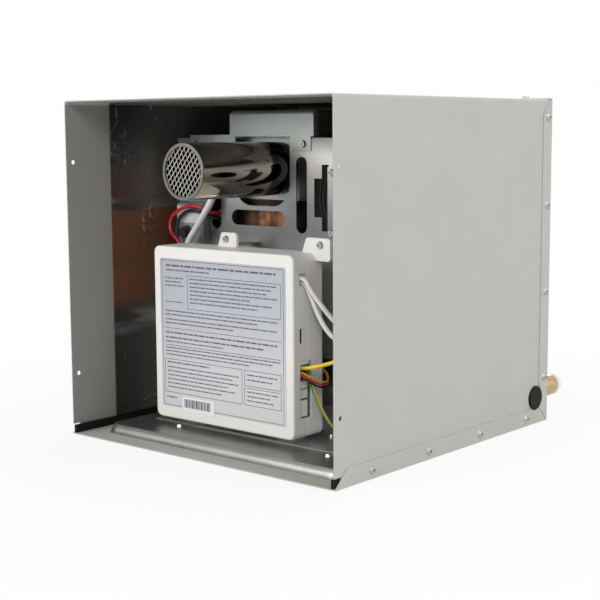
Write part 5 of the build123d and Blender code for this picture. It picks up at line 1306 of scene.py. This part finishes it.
@dataclass(frozen=True)
class Studio:
    """A plain pale floor under soft light, with a white background."""

    lights: tuple[SoftBox, ...]
    ambient: float = 0.16
    floor_half: float = 6.0
    floor_level: float = -0.0006
    floor_colour: Colour = (0.86, 0.86, 0.86)
    floor_glow: float = 0.86
    fade_from: float = 0.25
    fade_to: float = 0.6

    @staticmethod
    def _seen(graph: Graph) -> Value:
        """Tells which rays show the background itself.

        Args:
            graph: the world's or the floor's nodes.

        Returns:
            1 for a ray from the camera, a mirror or glass, else 0.
        """
        kinds = ("Is Camera Ray", "Is Glossy Ray", "Is Transmission Ray")
        camera, glossy, clear = (graph.node("ShaderNodeLightPath", out=kind) for kind in kinds)
        return (camera + glossy + clear).ramp(0.0, 1.0)

    def _world(self) -> None:
        """White behind the object, and a softer glow as its light."""
        world = bpy.data.worlds.new("studio_world")
        world.use_nodes = True
        graph = Graph(world.node_tree)
        strength = self._seen(graph) * (1.0 - self.ambient) + self.ambient
        white = graph.node("ShaderNodeBackground", inputs={"Color": WHITE, "Strength": strength})
        graph.node("ShaderNodeOutputWorld", inputs={"Surface": white})
        bpy.context.scene.world = world

    def _floor(self) -> None:
        """The floor: matt white that is lifted towards the background and keeps a shadow."""
        half = self.floor_half
        corners = ((-half, -half), (half, -half), (half, half), (-half, half))
        data = bpy.data.meshes.new("studio_floor")
        data.from_pydata([(x, y, self.floor_level) for x, y in corners], [], [(0, 1, 2, 3)])
        made = bpy.data.materials.new("studio_floor")
        made.use_nodes = True
        graph = Graph(made.node_tree)
        matt = graph.node("ShaderNodeBsdfDiffuse", inputs={"Color": self.floor_colour})
        glow = graph.node("ShaderNodeEmission", inputs={"Color": WHITE, "Strength": 1.0})
        away = graph.node("ShaderNodeVectorMath", {"operation": "LENGTH"}, {0: graph.place()}, "Value")
        lift = away.ramp(self.fade_from, self.fade_to, self.floor_glow, 1.0)
        lifted = graph.node("ShaderNodeMixShader", inputs={0: self._seen(graph) * lift, 1: matt, 2: glow})
        graph.node("ShaderNodeOutputMaterial", inputs={"Surface": lifted})
        data.materials.append(made)
        floor = bpy.data.objects.new("studio_floor", data)
        bpy.context.scene.collection.objects.link(floor)

    def build(self) -> None:
        """Sets the room up."""
        self._world()
        self._floor()
        for light in self.lights:
            light.build()
        bpy.context.scene.view_settings.view_transform = "Standard"


@dataclass
class SubAssembly:
    """A group of CAD nodes, with the finish that each one wears."""

    nodes: dict[str, bpy.types.Object]
    shelf: Shelf
    wear: ClassVar[dict[str, Finish]] = {}

    def build(self) -> None:
        """Gives each node its finish; a kind with pieces of its own adds them too."""
        for name, finish in self.wear.items():
            for slot in self.nodes[name].material_slots:
                slot.material = self.shelf.take(finish)
            LOG.info("%s: %s wears %s", type(self).__name__, name, finish.name)

    def piece(self, data: Union[bpy.types.Mesh, bpy.types.Curve], finish: Finish,
              slot: Slot) -> bpy.types.Object:
        """Puts a new piece in the scene, on the case.

        Args:
            data: the piece's mesh or curve, in the frame's place; the piece takes its name.
            finish: what it wears.
            slot: the record's slot that its finish comes from; not used.

        Returns:
            The new object.
        """
        data.materials.append(self.shelf.take(finish))
        made = bpy.data.objects.new(data.name, data)
        bpy.context.scene.collection.objects.link(made)
        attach(made, CASE_BODY)
        LOG.info("%s: new piece %s", type(self).__name__, made.name)
        return made


@dataclass
class Case(SubAssembly):
    """The bent sheet case with its liners, seals and screws."""

    wear: ClassVar[dict[str, Finish]] = {
        "outer_wrap": GREY_PAINT, "base_panel": GREY_PAINT, "back_panel": GREY_PAINT,
        "case_screws": CASE_SCREW, "side_liners": WALL_FOIL, "top_liner": ROOF_FOIL,
        "edge_seals": BLACK_RUBBER, "hole_plug": BLACK_RUBBER}


@dataclass
class Chassis(SubAssembly):
    """The tray and the slotted plate that carry the works."""

    wear: ClassVar[dict[str, Finish]] = {
        "chassis_tray": TRAY_STEEL, "chassis_plate": ZINC, "chassis_screws": PLATE_SCREW}


@dataclass(frozen=True)
class Ring:
    """One ring of a turned body: plain, threaded or hexagonal."""

    y: float
    radius: float
    thread: float = 0.0
    flats: float = 0.0

    def out(self, share: float, pitch: float) -> float:
        """Distance from the axis.

        Args:
            share: the place round the axis, from 0 to 1.
            pitch: the thread's advance in one turn.

        Returns:
            The ring's radius there.
        """
        if self.flats:
            return self.flats / 2 / math.cos((share * HEX_SIDES % 1.0 - 0.5) * math.tau / HEX_SIDES)
        return self.radius - self.thread * abs((self.y / pitch - share) % 1.0 * 2.0 - 1.0)


def turn(shape: bmesh.types.BMesh, axis: Spot, rings: Sequence[Ring], pitch: float = 1.0) -> None:
    """Adds a closed turned body whose axis lies along Y.

    Args:
        shape: the mesh that it goes into.
        axis: the axis's X and Z.
        rings: the rings round the section; the last one joins the first.
        pitch: the thread's advance in one turn.
    """
    x, z = axis
    loops = []
    for ring in rings:
        loop = []
        for step in range(POINTS_AROUND):
            out, angle = ring.out(step / POINTS_AROUND, pitch), step / POINTS_AROUND * math.tau
            loop.append(shape.verts.new((x + out * math.cos(angle), ring.y, z + out * math.sin(angle))))
        loops.append(loop)
    for first, second in zip(loops, loops[1:] + loops[:1]):
        joined(shape, first, second)


def joined(shape: bmesh.types.BMesh, first: Loop, second: Loop) -> None:
    """Joins two loops of as many points by a band of faces.

    Args:
        shape: the mesh that they are in.
        first: one loop's points, in order.
        second: the other loop's points.
    """
    for here, after in zip(range(-1, len(first)), range(len(first))):
        shape.faces.new((first[here], second[here], second[after], first[after]))


def closed(shape: bmesh.types.BMesh, name: str) -> bpy.types.Mesh:
    """Turns a finished shape's faces outward and makes it a mesh.

    Args:
        shape: the shape, which is used up.
        name: the mesh's name.

    Returns:
        The mesh.
    """
    bmesh.ops.recalc_face_normals(shape, faces=shape.faces[:])
    data = bpy.data.meshes.new(name)
    shape.to_mesh(data)
    shape.free()
    return data


@dataclass(frozen=True)
class ExpandedScreen:
    """Expanded metal: slit sheet drawn into diamonds, so that every strand is twisted."""

    axis: Spot = (-0.0192, 0.2496)
    front: float = -0.1527
    sheet: float = 0.0008
    radius: float = 0.024
    rim: float = 0.0008
    wide: float = 0.005
    tall: float = 0.0079
    strand: float = 0.00062
    gauge: float = 0.0004
    twist: float = 20.0
    askew: float = -10.0
    samples: int = 24
    shortest: int = 4

    def _strands(self) -> list[tuple[Vector, Vector, int]]:
        """Ends and lean of every strand, cut off at the rim.

        Returns:
            The ends from the screen's centre, and 1 or -1 for the lean.
        """
        reach = self.radius - self.rim / 2
        rows = int(2 * reach / self.wide) + 2
        spin = Matrix.Rotation(math.radians(self.askew), 2)
        found = []
        for row in range(-rows, rows):
            for column in range(-rows, rows + 1):
                if (row + column) % 2:
                    continue
                start = spin @ Vector((column * self.wide / 2, row * self.tall / 2))
                for lean in (-1, 1):
                    end = start + spin @ Vector((lean * self.wide / 2, self.tall / 2))
                    steps = [start.lerp(end, step / self.samples) for step in range(self.samples + 1)]
                    kept = [point for point in steps if point.length < reach]
                    if len(kept) > self.shortest:
                        found.append((kept[0], kept[-1], lean))
        return found

    def mesh(self) -> bpy.types.Mesh:
        """The strands and the rim that holds them.

        Returns:
            The screen's mesh.
        """
        shape = bmesh.new()
        depth = self.front + self.sheet / 2
        for start, end, lean in self._strands():
            run = end - start
            along = Vector((run.x, 0.0, run.y)).normalized()
            tilt = Matrix.Rotation(math.radians(self.twist * lean), 3, along)
            across = tilt @ along.cross(Vector((0.0, 1.0, 0.0)))
            through = along.cross(across)
            length = run.length + self.strand / 2
            turned = Matrix((along * length, across * self.strand, through * self.gauge))
            middle = (start + end) / 2
            place = Matrix.Translation((self.axis[0] + middle.x, depth, self.axis[1] + middle.y))
            bmesh.ops.create_cube(shape, size=1.0, matrix=place @ turned.transposed().to_4x4())
        inner, rear = self.radius - self.rim, self.front + self.sheet
        turn(shape, self.axis, [Ring(self.front, inner), Ring(self.front, self.radius),
                                Ring(rear, self.radius), Ring(rear, inner)])
        return closed(shape, "expanded_screen")


@dataclass
class Flue(SubAssembly):
    """The hood, the polished exhaust tube and its screen."""

    wear: ClassVar[dict[str, Finish]] = {
        "flue_hood": HOOD_ZINC, "exhaust_tube": STAINLESS, "exhaust_screen": SCREEN_METAL}

    def build(self) -> None:
        """Dresses the nodes, and draws the screen's twisted strands."""
        super().build()
        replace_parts(self.piece(ExpandedScreen().mesh(), SCREEN_METAL, Slot.TUBE_POLISH), "exhaust_screen")


@dataclass
class FireBox(SubAssembly):
    """The exchanger, the combustion chamber and the burner."""

    wear: ClassVar[dict[str, Finish]] = {
        "exchanger_shell": SHELL_COPPER, "exchanger_fins": COPPER, "exchanger_tube": COPPER,
        "chamber_shell": COPPER, "chamber_coil": COPPER, "burner_box": BURNER, "burner_bars": BURNER,
        "gas_manifold": ALLOY, "electrode_block": PORCELAIN}


@dataclass(frozen=True)
class Threaded:
    """A rear fitting with a hexagon, a relief groove, a cut thread and a bore.

    Its sizes are those for half-inch pipe, unless others are given.
    """

    node: str
    x: float
    z: float
    flats: float = 0.024
    radius: float = 0.0105
    bore: float = 0.007
    tip: float = 0.1945
    nose: float = 0.203
    nose_radius: float = 0.0102
    pitch: float = 0.0018
    inner: float = 0.139
    hex_rear: float = 0.166
    hex_length: float = 0.006
    relief: float = 0.0025
    relief_depth: float = 0.001
    thread_depth: float = 0.0009
    per_turn: int = 7
    sharp: float = 38.0

    def _rings(self) -> list[Ring]:
        """The rings round the section and back through the bore.

        Returns:
            The rings, from the bore's inner end.
        """
        start, end, neck = self.hex_rear + self.relief, self.tip, self.radius - self.relief_depth
        hex_front = self.hex_rear - self.hex_length
        rings = [Ring(self.inner, self.bore), Ring(self.inner, self.radius), Ring(hex_front, self.radius),
                 Ring(hex_front, 0.0, flats=self.flats), Ring(self.hex_rear, 0.0, flats=self.flats),
                 Ring(self.hex_rear, neck), Ring(start, neck)]
        steps = int((end - start) / self.pitch * self.per_turn)
        for step in range(steps + 1):
            run_out = min(1.0, step / self.per_turn, (steps - step) / self.per_turn)
            y = start + (end - start) * step / steps
            rings.append(Ring(y, self.radius, self.thread_depth * run_out))
        return rings + [Ring(self.nose, self.nose_radius), Ring(self.nose, self.bore)]

    def mesh(self) -> bpy.types.Mesh:
        """Turns the section about its axis, with the thread as a helix.

        Returns:
            The fitting's mesh.
        """
        shape = bmesh.new()
        turn(shape, (self.x, self.z), self._rings(), self.pitch)
        data = closed(shape, f"{self.node}_threaded")
        data.shade_smooth()
        data.set_sharp_from_angle(angle=math.radians(self.sharp))
        return data


@dataclass
class Plumbing(SubAssembly):
    """Works that end in threaded fittings on the back."""

    ends: ClassVar[tuple[Threaded, ...]] = ()

    def build(self) -> None:
        """Dresses the nodes, and cuts the fittings' threads."""
        super().build()
        for end in self.ends:
            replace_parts(self.piece(end.mesh(), BRASS, Slot.BRASS), end.node)


@dataclass
class GasTrain(Plumbing):
    """The gas valve with its coils and plungers, and the pipe to it."""

    wear: ClassVar[dict[str, Finish]] = {
        "gas_valve": ALLOY, "solenoid_coils": COIL_NYLON, "left_plunger": PLATED, "right_plunger": PLATED,
        "gas_pipe": ALLOY, "gas_fitting": BRASS}
    ends: ClassVar[tuple[Threaded, ...]] = (
        Threaded("gas_fitting", x=0.109, z=0.05, flats=0.02, radius=0.00795, bore=0.0044, tip=0.195,
                 nose=0.201, nose_radius=0.0056, pitch=0.0014),)


@dataclass
class WaterWorks(Plumbing):
    """The fittings, pipes, flow sensor and relief valve."""

    wear: ClassVar[dict[str, Finish]] = {
        "cold_fitting": BRASS, "cold_cap": CLEAR, "flow_sensor": GREY_NYLON, "flow_turbine": PALE_NYLON,
        "cold_pipe": COPPER, "hot_fitting": BRASS, "hot_pipe": COPPER, "relief_valve": BRASS,
        "relief_stem": BRASS, "relief_lever": PLATED, "temperature_sensors": PLATED}
    ends: ClassVar[tuple[Threaded, ...]] = (
        Threaded("cold_fitting", x=0.142, z=0.028), Threaded("hot_fitting", x=0.112, z=0.088))


@dataclass(frozen=True)
class InletRib:
    """A moulded rib on the blower's face, an arc round its inlet."""

    radius: float
    half_turn: float
    axis: Spot = (0.084, 0.224)
    face: float = -0.0408
    wide: float = 0.0016
    crown: float = 0.0008
    rise: float = 0.0009
    steps: int = 20

    def add(self, shape: bmesh.types.BMesh) -> None:
        """Adds the rib as a closed bar.

        Args:
            shape: the mesh that it goes into.
        """
        x, z = self.axis
        foot, top, front = self.wide / 2, self.crown / 2, self.face - self.rise
        section = [(-foot, self.face), (-top, front), (top, front), (foot, self.face)]
        section = [(self.radius + out, y) for out, y in section]
        loops = []
        for step in range(self.steps + 1):
            angle = math.pi + math.radians(self.half_turn) * (2 * step / self.steps - 1)
            points = [(x + out * math.cos(angle), y, z + out * math.sin(angle)) for out, y in section]
            loops.append([shape.verts.new(point) for point in points])
        for first, second in zip(loops, loops[1:]):
            joined(shape, first, second)
        shape.faces.new(loops[0])
        shape.faces.new(loops[-1])


@dataclass
class AirWorks(SubAssembly):
    """The blower and the duct down to the burner."""

    wear: ClassVar[dict[str, Finish]] = {
        "blower_housing": BLACK_NYLON, "blower_wheel": BLACK_NYLON, "blower_motor": DUCT_ZINC,
        "blower_baffle": ZINC, "air_duct": DUCT_ZINC}
    ribs: ClassVar[tuple[InletRib, ...]] = (
        InletRib(radius=0.0335, half_turn=19.0), InletRib(radius=0.0375, half_turn=29.0),
        InletRib(radius=0.0415, half_turn=24.0))

    def build(self) -> None:
        """Dresses the nodes, and draws the ribs round the blower's inlet that the plate leaves open."""
        super().build()
        shape = bmesh.new()
        for rib in self.ribs:
            rib.add(shape)
        self.piece(closed(shape, "inlet_ribs"), RIB_NYLON, Slot.BLOWER_BLACK)


@dataclass(frozen=True)
class Paragraph:
    """Rows of the label's print, in shares of the label's width from its left and its height from its top.

    All rows start at left. The first one's top lies at top, and each further one a step lower.
    """

    left: float
    top: float
    height: float
    ends: tuple[float, ...]
    step: float = 0.0

    def rows(self) -> list[tuple[float, float]]:
        """The right end and the top of each row."""
        return [(end, self.top + order * self.step) for order, end in enumerate(self.ends)]


@dataclass
class Control(SubAssembly):
    """The control box with its board, its label plate and the spark module.

    The label's frames and rules are shares of its width from the left and of its height from the top. The
    lengths of its words are counted in letters.
    """

    wear: ClassVar[dict[str, Finish]] = {
        "control_base": OFF_WHITE, "control_cover": OFF_WHITE, "circuit_board": BOARD,
        "board_connectors": PLUG_NYLON, "label_plate": PLATE_STOCK, "spark_module": SPARK_CASE,
        "ground_lug": PLATED}
    lift: float = 0.00005
    line: float = 0.0005
    body_share: float = 0.62
    letter_share: float = 0.52
    space_share: float = 0.5
    words: tuple[int, ...] = (4, 7, 3, 6, 2, 8, 5, 3, 9, 4, 6)
    stripes: Bar = (-0.0655, -0.0303, 0.0285, 0.0365)
    stripe_pitch: float = 0.0018
    stripe_least: float = 0.35
    stripe_growth: float = 0.06
    frames: tuple[Bar, ...] = (
        (0.015, 0.985, 0.012, 0.988), (0.23, 0.965, 0.105, 0.325), (0.03, 0.665, 0.675, 0.9),
        (0.685, 0.965, 0.675, 0.775), (0.685, 0.965, 0.79, 0.9))
    rules: tuple[tuple[float, float, float], ...] = ((0.03, 0.965, 0.465), (0.03, 0.965, 0.58))
    paragraphs: tuple[Paragraph, ...] = (
        Paragraph(0.05, 0.04, 0.02, (0.95,)),
        Paragraph(0.05, 0.072, 0.014, (0.42,)),
        Paragraph(0.04, 0.125, 0.012, (0.2, 0.18, 0.2), 0.025),
        Paragraph(0.04, 0.285, 0.01, (0.19,)),
        Paragraph(0.25, 0.122, 0.013, (0.94, 0.9, 0.86, 0.94, 0.74, 0.9, 0.8), 0.026),
        Paragraph(0.04, 0.345, 0.013, (0.96, 0.8), 0.025),
        Paragraph(0.04, 0.402, 0.013, (0.94, 0.6), 0.025),
        Paragraph(0.04, 0.49, 0.016, (0.94, 0.84), 0.033),
        Paragraph(0.04, 0.552, 0.012, (0.52,)),
        Paragraph(0.04, 0.594, 0.012, (0.96, 0.9, 0.72), 0.023),
        Paragraph(0.05, 0.692, 0.014, (0.4,)),
        Paragraph(0.05, 0.725, 0.012, (0.64, 0.6, 0.64, 0.55, 0.62, 0.5), 0.027),
        Paragraph(0.705, 0.7, 0.013, (0.94, 0.9), 0.032),
        Paragraph(0.705, 0.81, 0.012, (0.94, 0.88, 0.92), 0.028),
        Paragraph(0.04, 0.93, 0.014, (0.13,)))

    def build(self) -> None:
        """Dresses the nodes, and prints the label's plain rules and bars."""
        super().build()
        self.piece(self._print(), INK, Slot.LABEL_SILVER)
        self.piece(self._stripes(), INK, Slot.LABEL_SILVER)

    def _print(self) -> bpy.types.Mesh:
        """Thin bars just proud of the label plate, with no words in them.

        Returns:
            The mesh of all bars.
        """
        low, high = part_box("label_plate")
        wide, tall, half = high.x - low.x, LABEL_TOP - LABEL_FOOT, self.line / 2
        bars: list[Bar] = []
        for left, right, top, foot in self.frames:
            start, end = low.x + left * wide, low.x + right * wide
            upper, lower = LABEL_TOP - top * tall, LABEL_TOP - foot * tall
            bars += [(start, end, z - half, z + half) for z in (upper, lower)]
            bars += [(x - half, x + half, lower, upper) for x in (start, end)]
        for left, right, level in self.rules:
            z = LABEL_TOP - level * tall
            bars.append((low.x + left * wide, low.x + right * wide, z - half, z + half))
        first_word = 0
        for paragraph in self.paragraphs:
            size = paragraph.height * tall
            for end, top in paragraph.rows():
                ends = (low.x + paragraph.left * wide, low.x + end * wide)
                bars += self._row(ends, LABEL_TOP - top * tall, size, first_word)
                first_word += 1
        return self._raised_bars("label_print", bars, PLATE_STOCK.front)

    def _row(self, ends: Span, high: float, size: float, first_word: int) -> list[Bar]:
        """The bars of one row, as long as words are.

        Args:
            ends: the row's left and right end.
            high: its top.
            size: its height.
            first_word: the place of its first bar in the list of word lengths.

        Returns:
            The left, right, low and high edge of each bar.
        """
        x, last = ends
        bars = []
        word = first_word
        while x < last - size:
            long = self.words[word % len(self.words)] * size * self.letter_share
            bars.append((x, min(x + long, last), high - size * self.body_share, high))
            x += long + size * self.space_share
            word += 1
        return bars

    def _stripes(self) -> bpy.types.Mesh:
        """Upright stripes of several widths on the sticker.

        Returns:
            The mesh of all stripes.
        """
        left, right, foot, top = self.stripes
        bars = []
        for order in range(int((right - left) / self.stripe_pitch)):
            x = left + order * self.stripe_pitch
            share = self.stripe_least + self.stripe_growth * self.words[order % len(self.words)]
            bars.append((x, x + self.stripe_pitch * share, foot, top))
        return self._raised_bars("sticker_stripes", bars, PLATE_STOCK.front - PLATE_STOCK.step)

    def _raised_bars(self, name: str, bars: Sequence[Bar], y: float) -> bpy.types.Mesh:
        """Thin closed bars on a face that looks to the front.

        Args:
            name: the mesh's name.
            bars: the left, right, low and high edge of each bar.
            y: the face's depth.

        Returns:
            The mesh of all bars.
        """
        shape = bmesh.new()
        for left, right, low, high in bars:
            middle = Vector(((left + right) / 2, y - self.lift / 2, (low + high) / 2))
            size = Matrix.Diagonal((right - left, self.lift, high - low, 1.0))
            bmesh.ops.create_cube(shape, size=1.0, matrix=Matrix.Translation(middle) @ size)
        return closed(shape, name)


@dataclass(frozen=True)
class Lead:
    """A flexible lead along the points that its CAD tube follows."""

    name: str
    node: str
    radius: float
    length: float
    finish: Finish
    slot: Slot
    route: tuple[Point, ...]
    stiffness: str = "medium"
    roundness: int = 5
    order: int = 3

    def curve(self) -> bpy.types.Curve:
        """The lead's round curve.

        Returns:
            A curve with one open spline.
        """
        data = bpy.data.curves.new(self.name, "CURVE")
        data.dimensions = "3D"
        data.bevel_depth = self.radius
        data.bevel_resolution = self.roundness
        data.use_fill_caps = True
        spline = data.splines.new("NURBS")
        spline.points.add(len(self.route) - 1)
        for point, place in zip(spline.points, self.route):
            point.co = (*place, 1.0)
        spline.order_u = self.order
        spline.use_endpoint_u = True
        return data


# The sense leads lie a step apart, and the middle one follows this route.
SENSE_STEP = 0.0024
SENSE_ROUTE: tuple[Point, ...] = (
    (0.0656, -0.0998, 0.0729), (0.071, -0.0998, 0.0729), (0.077, -0.093, 0.067), (0.080, -0.085, 0.0635),
    (0.0794, -0.0755, 0.063), (0.0697, -0.066, 0.0693), (0.0522, -0.0585, 0.071),
    (0.0342, -0.0535, 0.0704), (0.017, -0.049, 0.072), (0.017, -0.037, 0.072))


def raised(route: Sequence[Point], by: float) -> tuple[Point, ...]:
    """A route moved up.

    Args:
        route: its points.
        by: how far.

    Returns:
        The new points.
    """
    return tuple((x, y, z + by) for x, y, z in route)


@dataclass
class Leads(SubAssembly):
    """The loose wires at the front of the works."""

    runs: ClassVar[tuple[Lead, ...]] = (
        Lead("red_wire", "red_lead", 0.0018, 0.148, RED_WIRE, Slot.WIRE_RED, (
            (-0.084, -0.034, 0.2058), (-0.084, -0.044, 0.2058), (-0.088, -0.051, 0.2078),
            (-0.096, -0.055, 0.2123), (-0.111, -0.057, 0.2132), (-0.1266, -0.0599, 0.206),
            (-0.1323, -0.0609, 0.1977), (-0.1309, -0.0619, 0.1876), (-0.1209, -0.0629, 0.1805),
            (-0.1151, -0.0627, 0.174), (-0.1119, -0.0619, 0.163), (-0.1039, -0.0612, 0.151),
            (-0.092, -0.062, 0.1386), (-0.092, -0.071, 0.1386))),
        Lead("black_wire", "black_lead", 0.0018, 0.147, BLACK_WIRE, Slot.WIRE_BLACK, (
            (-0.084, -0.034, 0.2002), (-0.084, -0.0435, 0.2002), (-0.0905, -0.050, 0.2032),
            (-0.0997, -0.055, 0.2082), (-0.1127, -0.055, 0.2084), (-0.1233, -0.057, 0.2012),
            (-0.1267, -0.058, 0.1904), (-0.1245, -0.0584, 0.1788), (-0.1205, -0.0584, 0.1718),
            (-0.1179, -0.058, 0.1616), (-0.1107, -0.0576, 0.1498), (-0.1017, -0.0576, 0.1378),
            (-0.092, -0.062, 0.1266), (-0.092, -0.071, 0.1266))),
        Lead("sensor_sleeving", "sensor_sleeve", 0.0033, 0.113, SLEEVING, Slot.WIRE_WHITE, (
            (-0.086, -0.036, 0.238), (-0.086, -0.0455, 0.238), (-0.081, -0.052, 0.222),
            (-0.0883, -0.057, 0.2066), (-0.0959, -0.060, 0.193), (-0.1026, -0.063, 0.1823),
            (-0.107, -0.064, 0.172), (-0.1035, -0.0628, 0.1625), (-0.092, -0.062, 0.153),
            (-0.092, -0.071, 0.153))),
        Lead("valve_cable_short", "valve_leads", 0.0022, 0.066, WHITE_CABLE, Slot.WIRE_WHITE, (
            (0.0656, -0.0996, 0.1584), (0.073, -0.0996, 0.1584), (0.0781, -0.0982, 0.148),
            (0.087, -0.0932, 0.134), (0.0951, -0.0877, 0.122), (0.101, -0.084, 0.116),
            (0.101, -0.077, 0.116))),
        Lead("valve_cable_long", "valve_leads", 0.0022, 0.094, WHITE_CABLE, Slot.WIRE_WHITE, (
            (0.0656, -0.0968, 0.1537), (0.0708, -0.0968, 0.1537), (0.0737, -0.0935, 0.1439),
            (0.0813, -0.092, 0.1263), (0.0897, -0.090, 0.1123), (0.1002, -0.088, 0.1043),
            (0.1132, -0.087, 0.1073), (0.123, -0.084, 0.116), (0.123, -0.077, 0.116))),
        Lead("yellow_wire", "yellow_lead", 0.0018, 0.047, YELLOW_WIRE, Slot.WIRE_YELLOW, (
            (0.0656, -0.0974, 0.079), (0.0712, -0.0974, 0.079), (0.0794, -0.094, 0.0808),
            (0.0873, -0.0905, 0.0829), (0.0962, -0.087, 0.0863), (0.104, -0.087, 0.090),
            (0.104, -0.080, 0.090))),
        Lead("sense_wire_low", "sense_leads", 0.0009, 0.113, BLACK_WIRE, Slot.WIRE_BLACK,
             raised(SENSE_ROUTE, -SENSE_STEP)),
        Lead("sense_wire_mid", "sense_leads", 0.0009, 0.113, RED_WIRE, Slot.WIRE_RED, SENSE_ROUTE),
        Lead("sense_wire_high", "sense_leads", 0.0009, 0.113, ORANGE_WIRE, Slot.WIRE_YELLOW,
             raised(SENSE_ROUTE, SENSE_STEP)),
        Lead("earth_wire", "ground_lead", 0.0013, 0.083, EARTH_WIRE, Slot.WIRE_GREEN, (
            (0.0656, -0.0925, 0.070), (0.0718, -0.0925, 0.070), (0.0727, -0.088, 0.0585),
            (0.0794, -0.085, 0.0413), (0.0852, -0.082, 0.0296), (0.0892, -0.072, 0.018),
            (0.092, -0.059, 0.012), (0.084, -0.059, 0.012))))

    def build(self) -> None:
        """Lays each lead in place of its CAD tube."""
        for lead in self.runs:
            laid = self.piece(lead.curve(), lead.finish, lead.slot)
            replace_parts(laid, lead.node)
            2 * lead.radius


def main() -> None:
    """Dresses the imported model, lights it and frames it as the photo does."""
    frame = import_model()
    logging.basicConfig(level=logging.INFO, format="%(message)s")
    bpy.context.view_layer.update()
    ViewPoint().build()
    shelf = Shelf()
    for kind in (Leads, Case, Chassis, Flue, FireBox, GasTrain, WaterWorks, AirWorks, Control):
        kind(frame["nodes"], shelf).build()
    Studio((SoftBox("front_box", (-0.9, -2.3, 1.1), size=1.3, power=31.0),
            SoftBox("right_box", (2.3, 0.6, 1.0), size=1.4, power=22.0),
            SoftBox("fill_box", (1.5, -2.0, 1.5), size=0.8, power=21.5),
            SoftBox("top_box", (0.2, 0.3, 2.4), size=1.6, power=22.0),
            SoftBox("rear_box", (-1.2, 2.2, 1.0), size=1.4, power=22.0))).build()


if __name__ == "__main__":
    main()
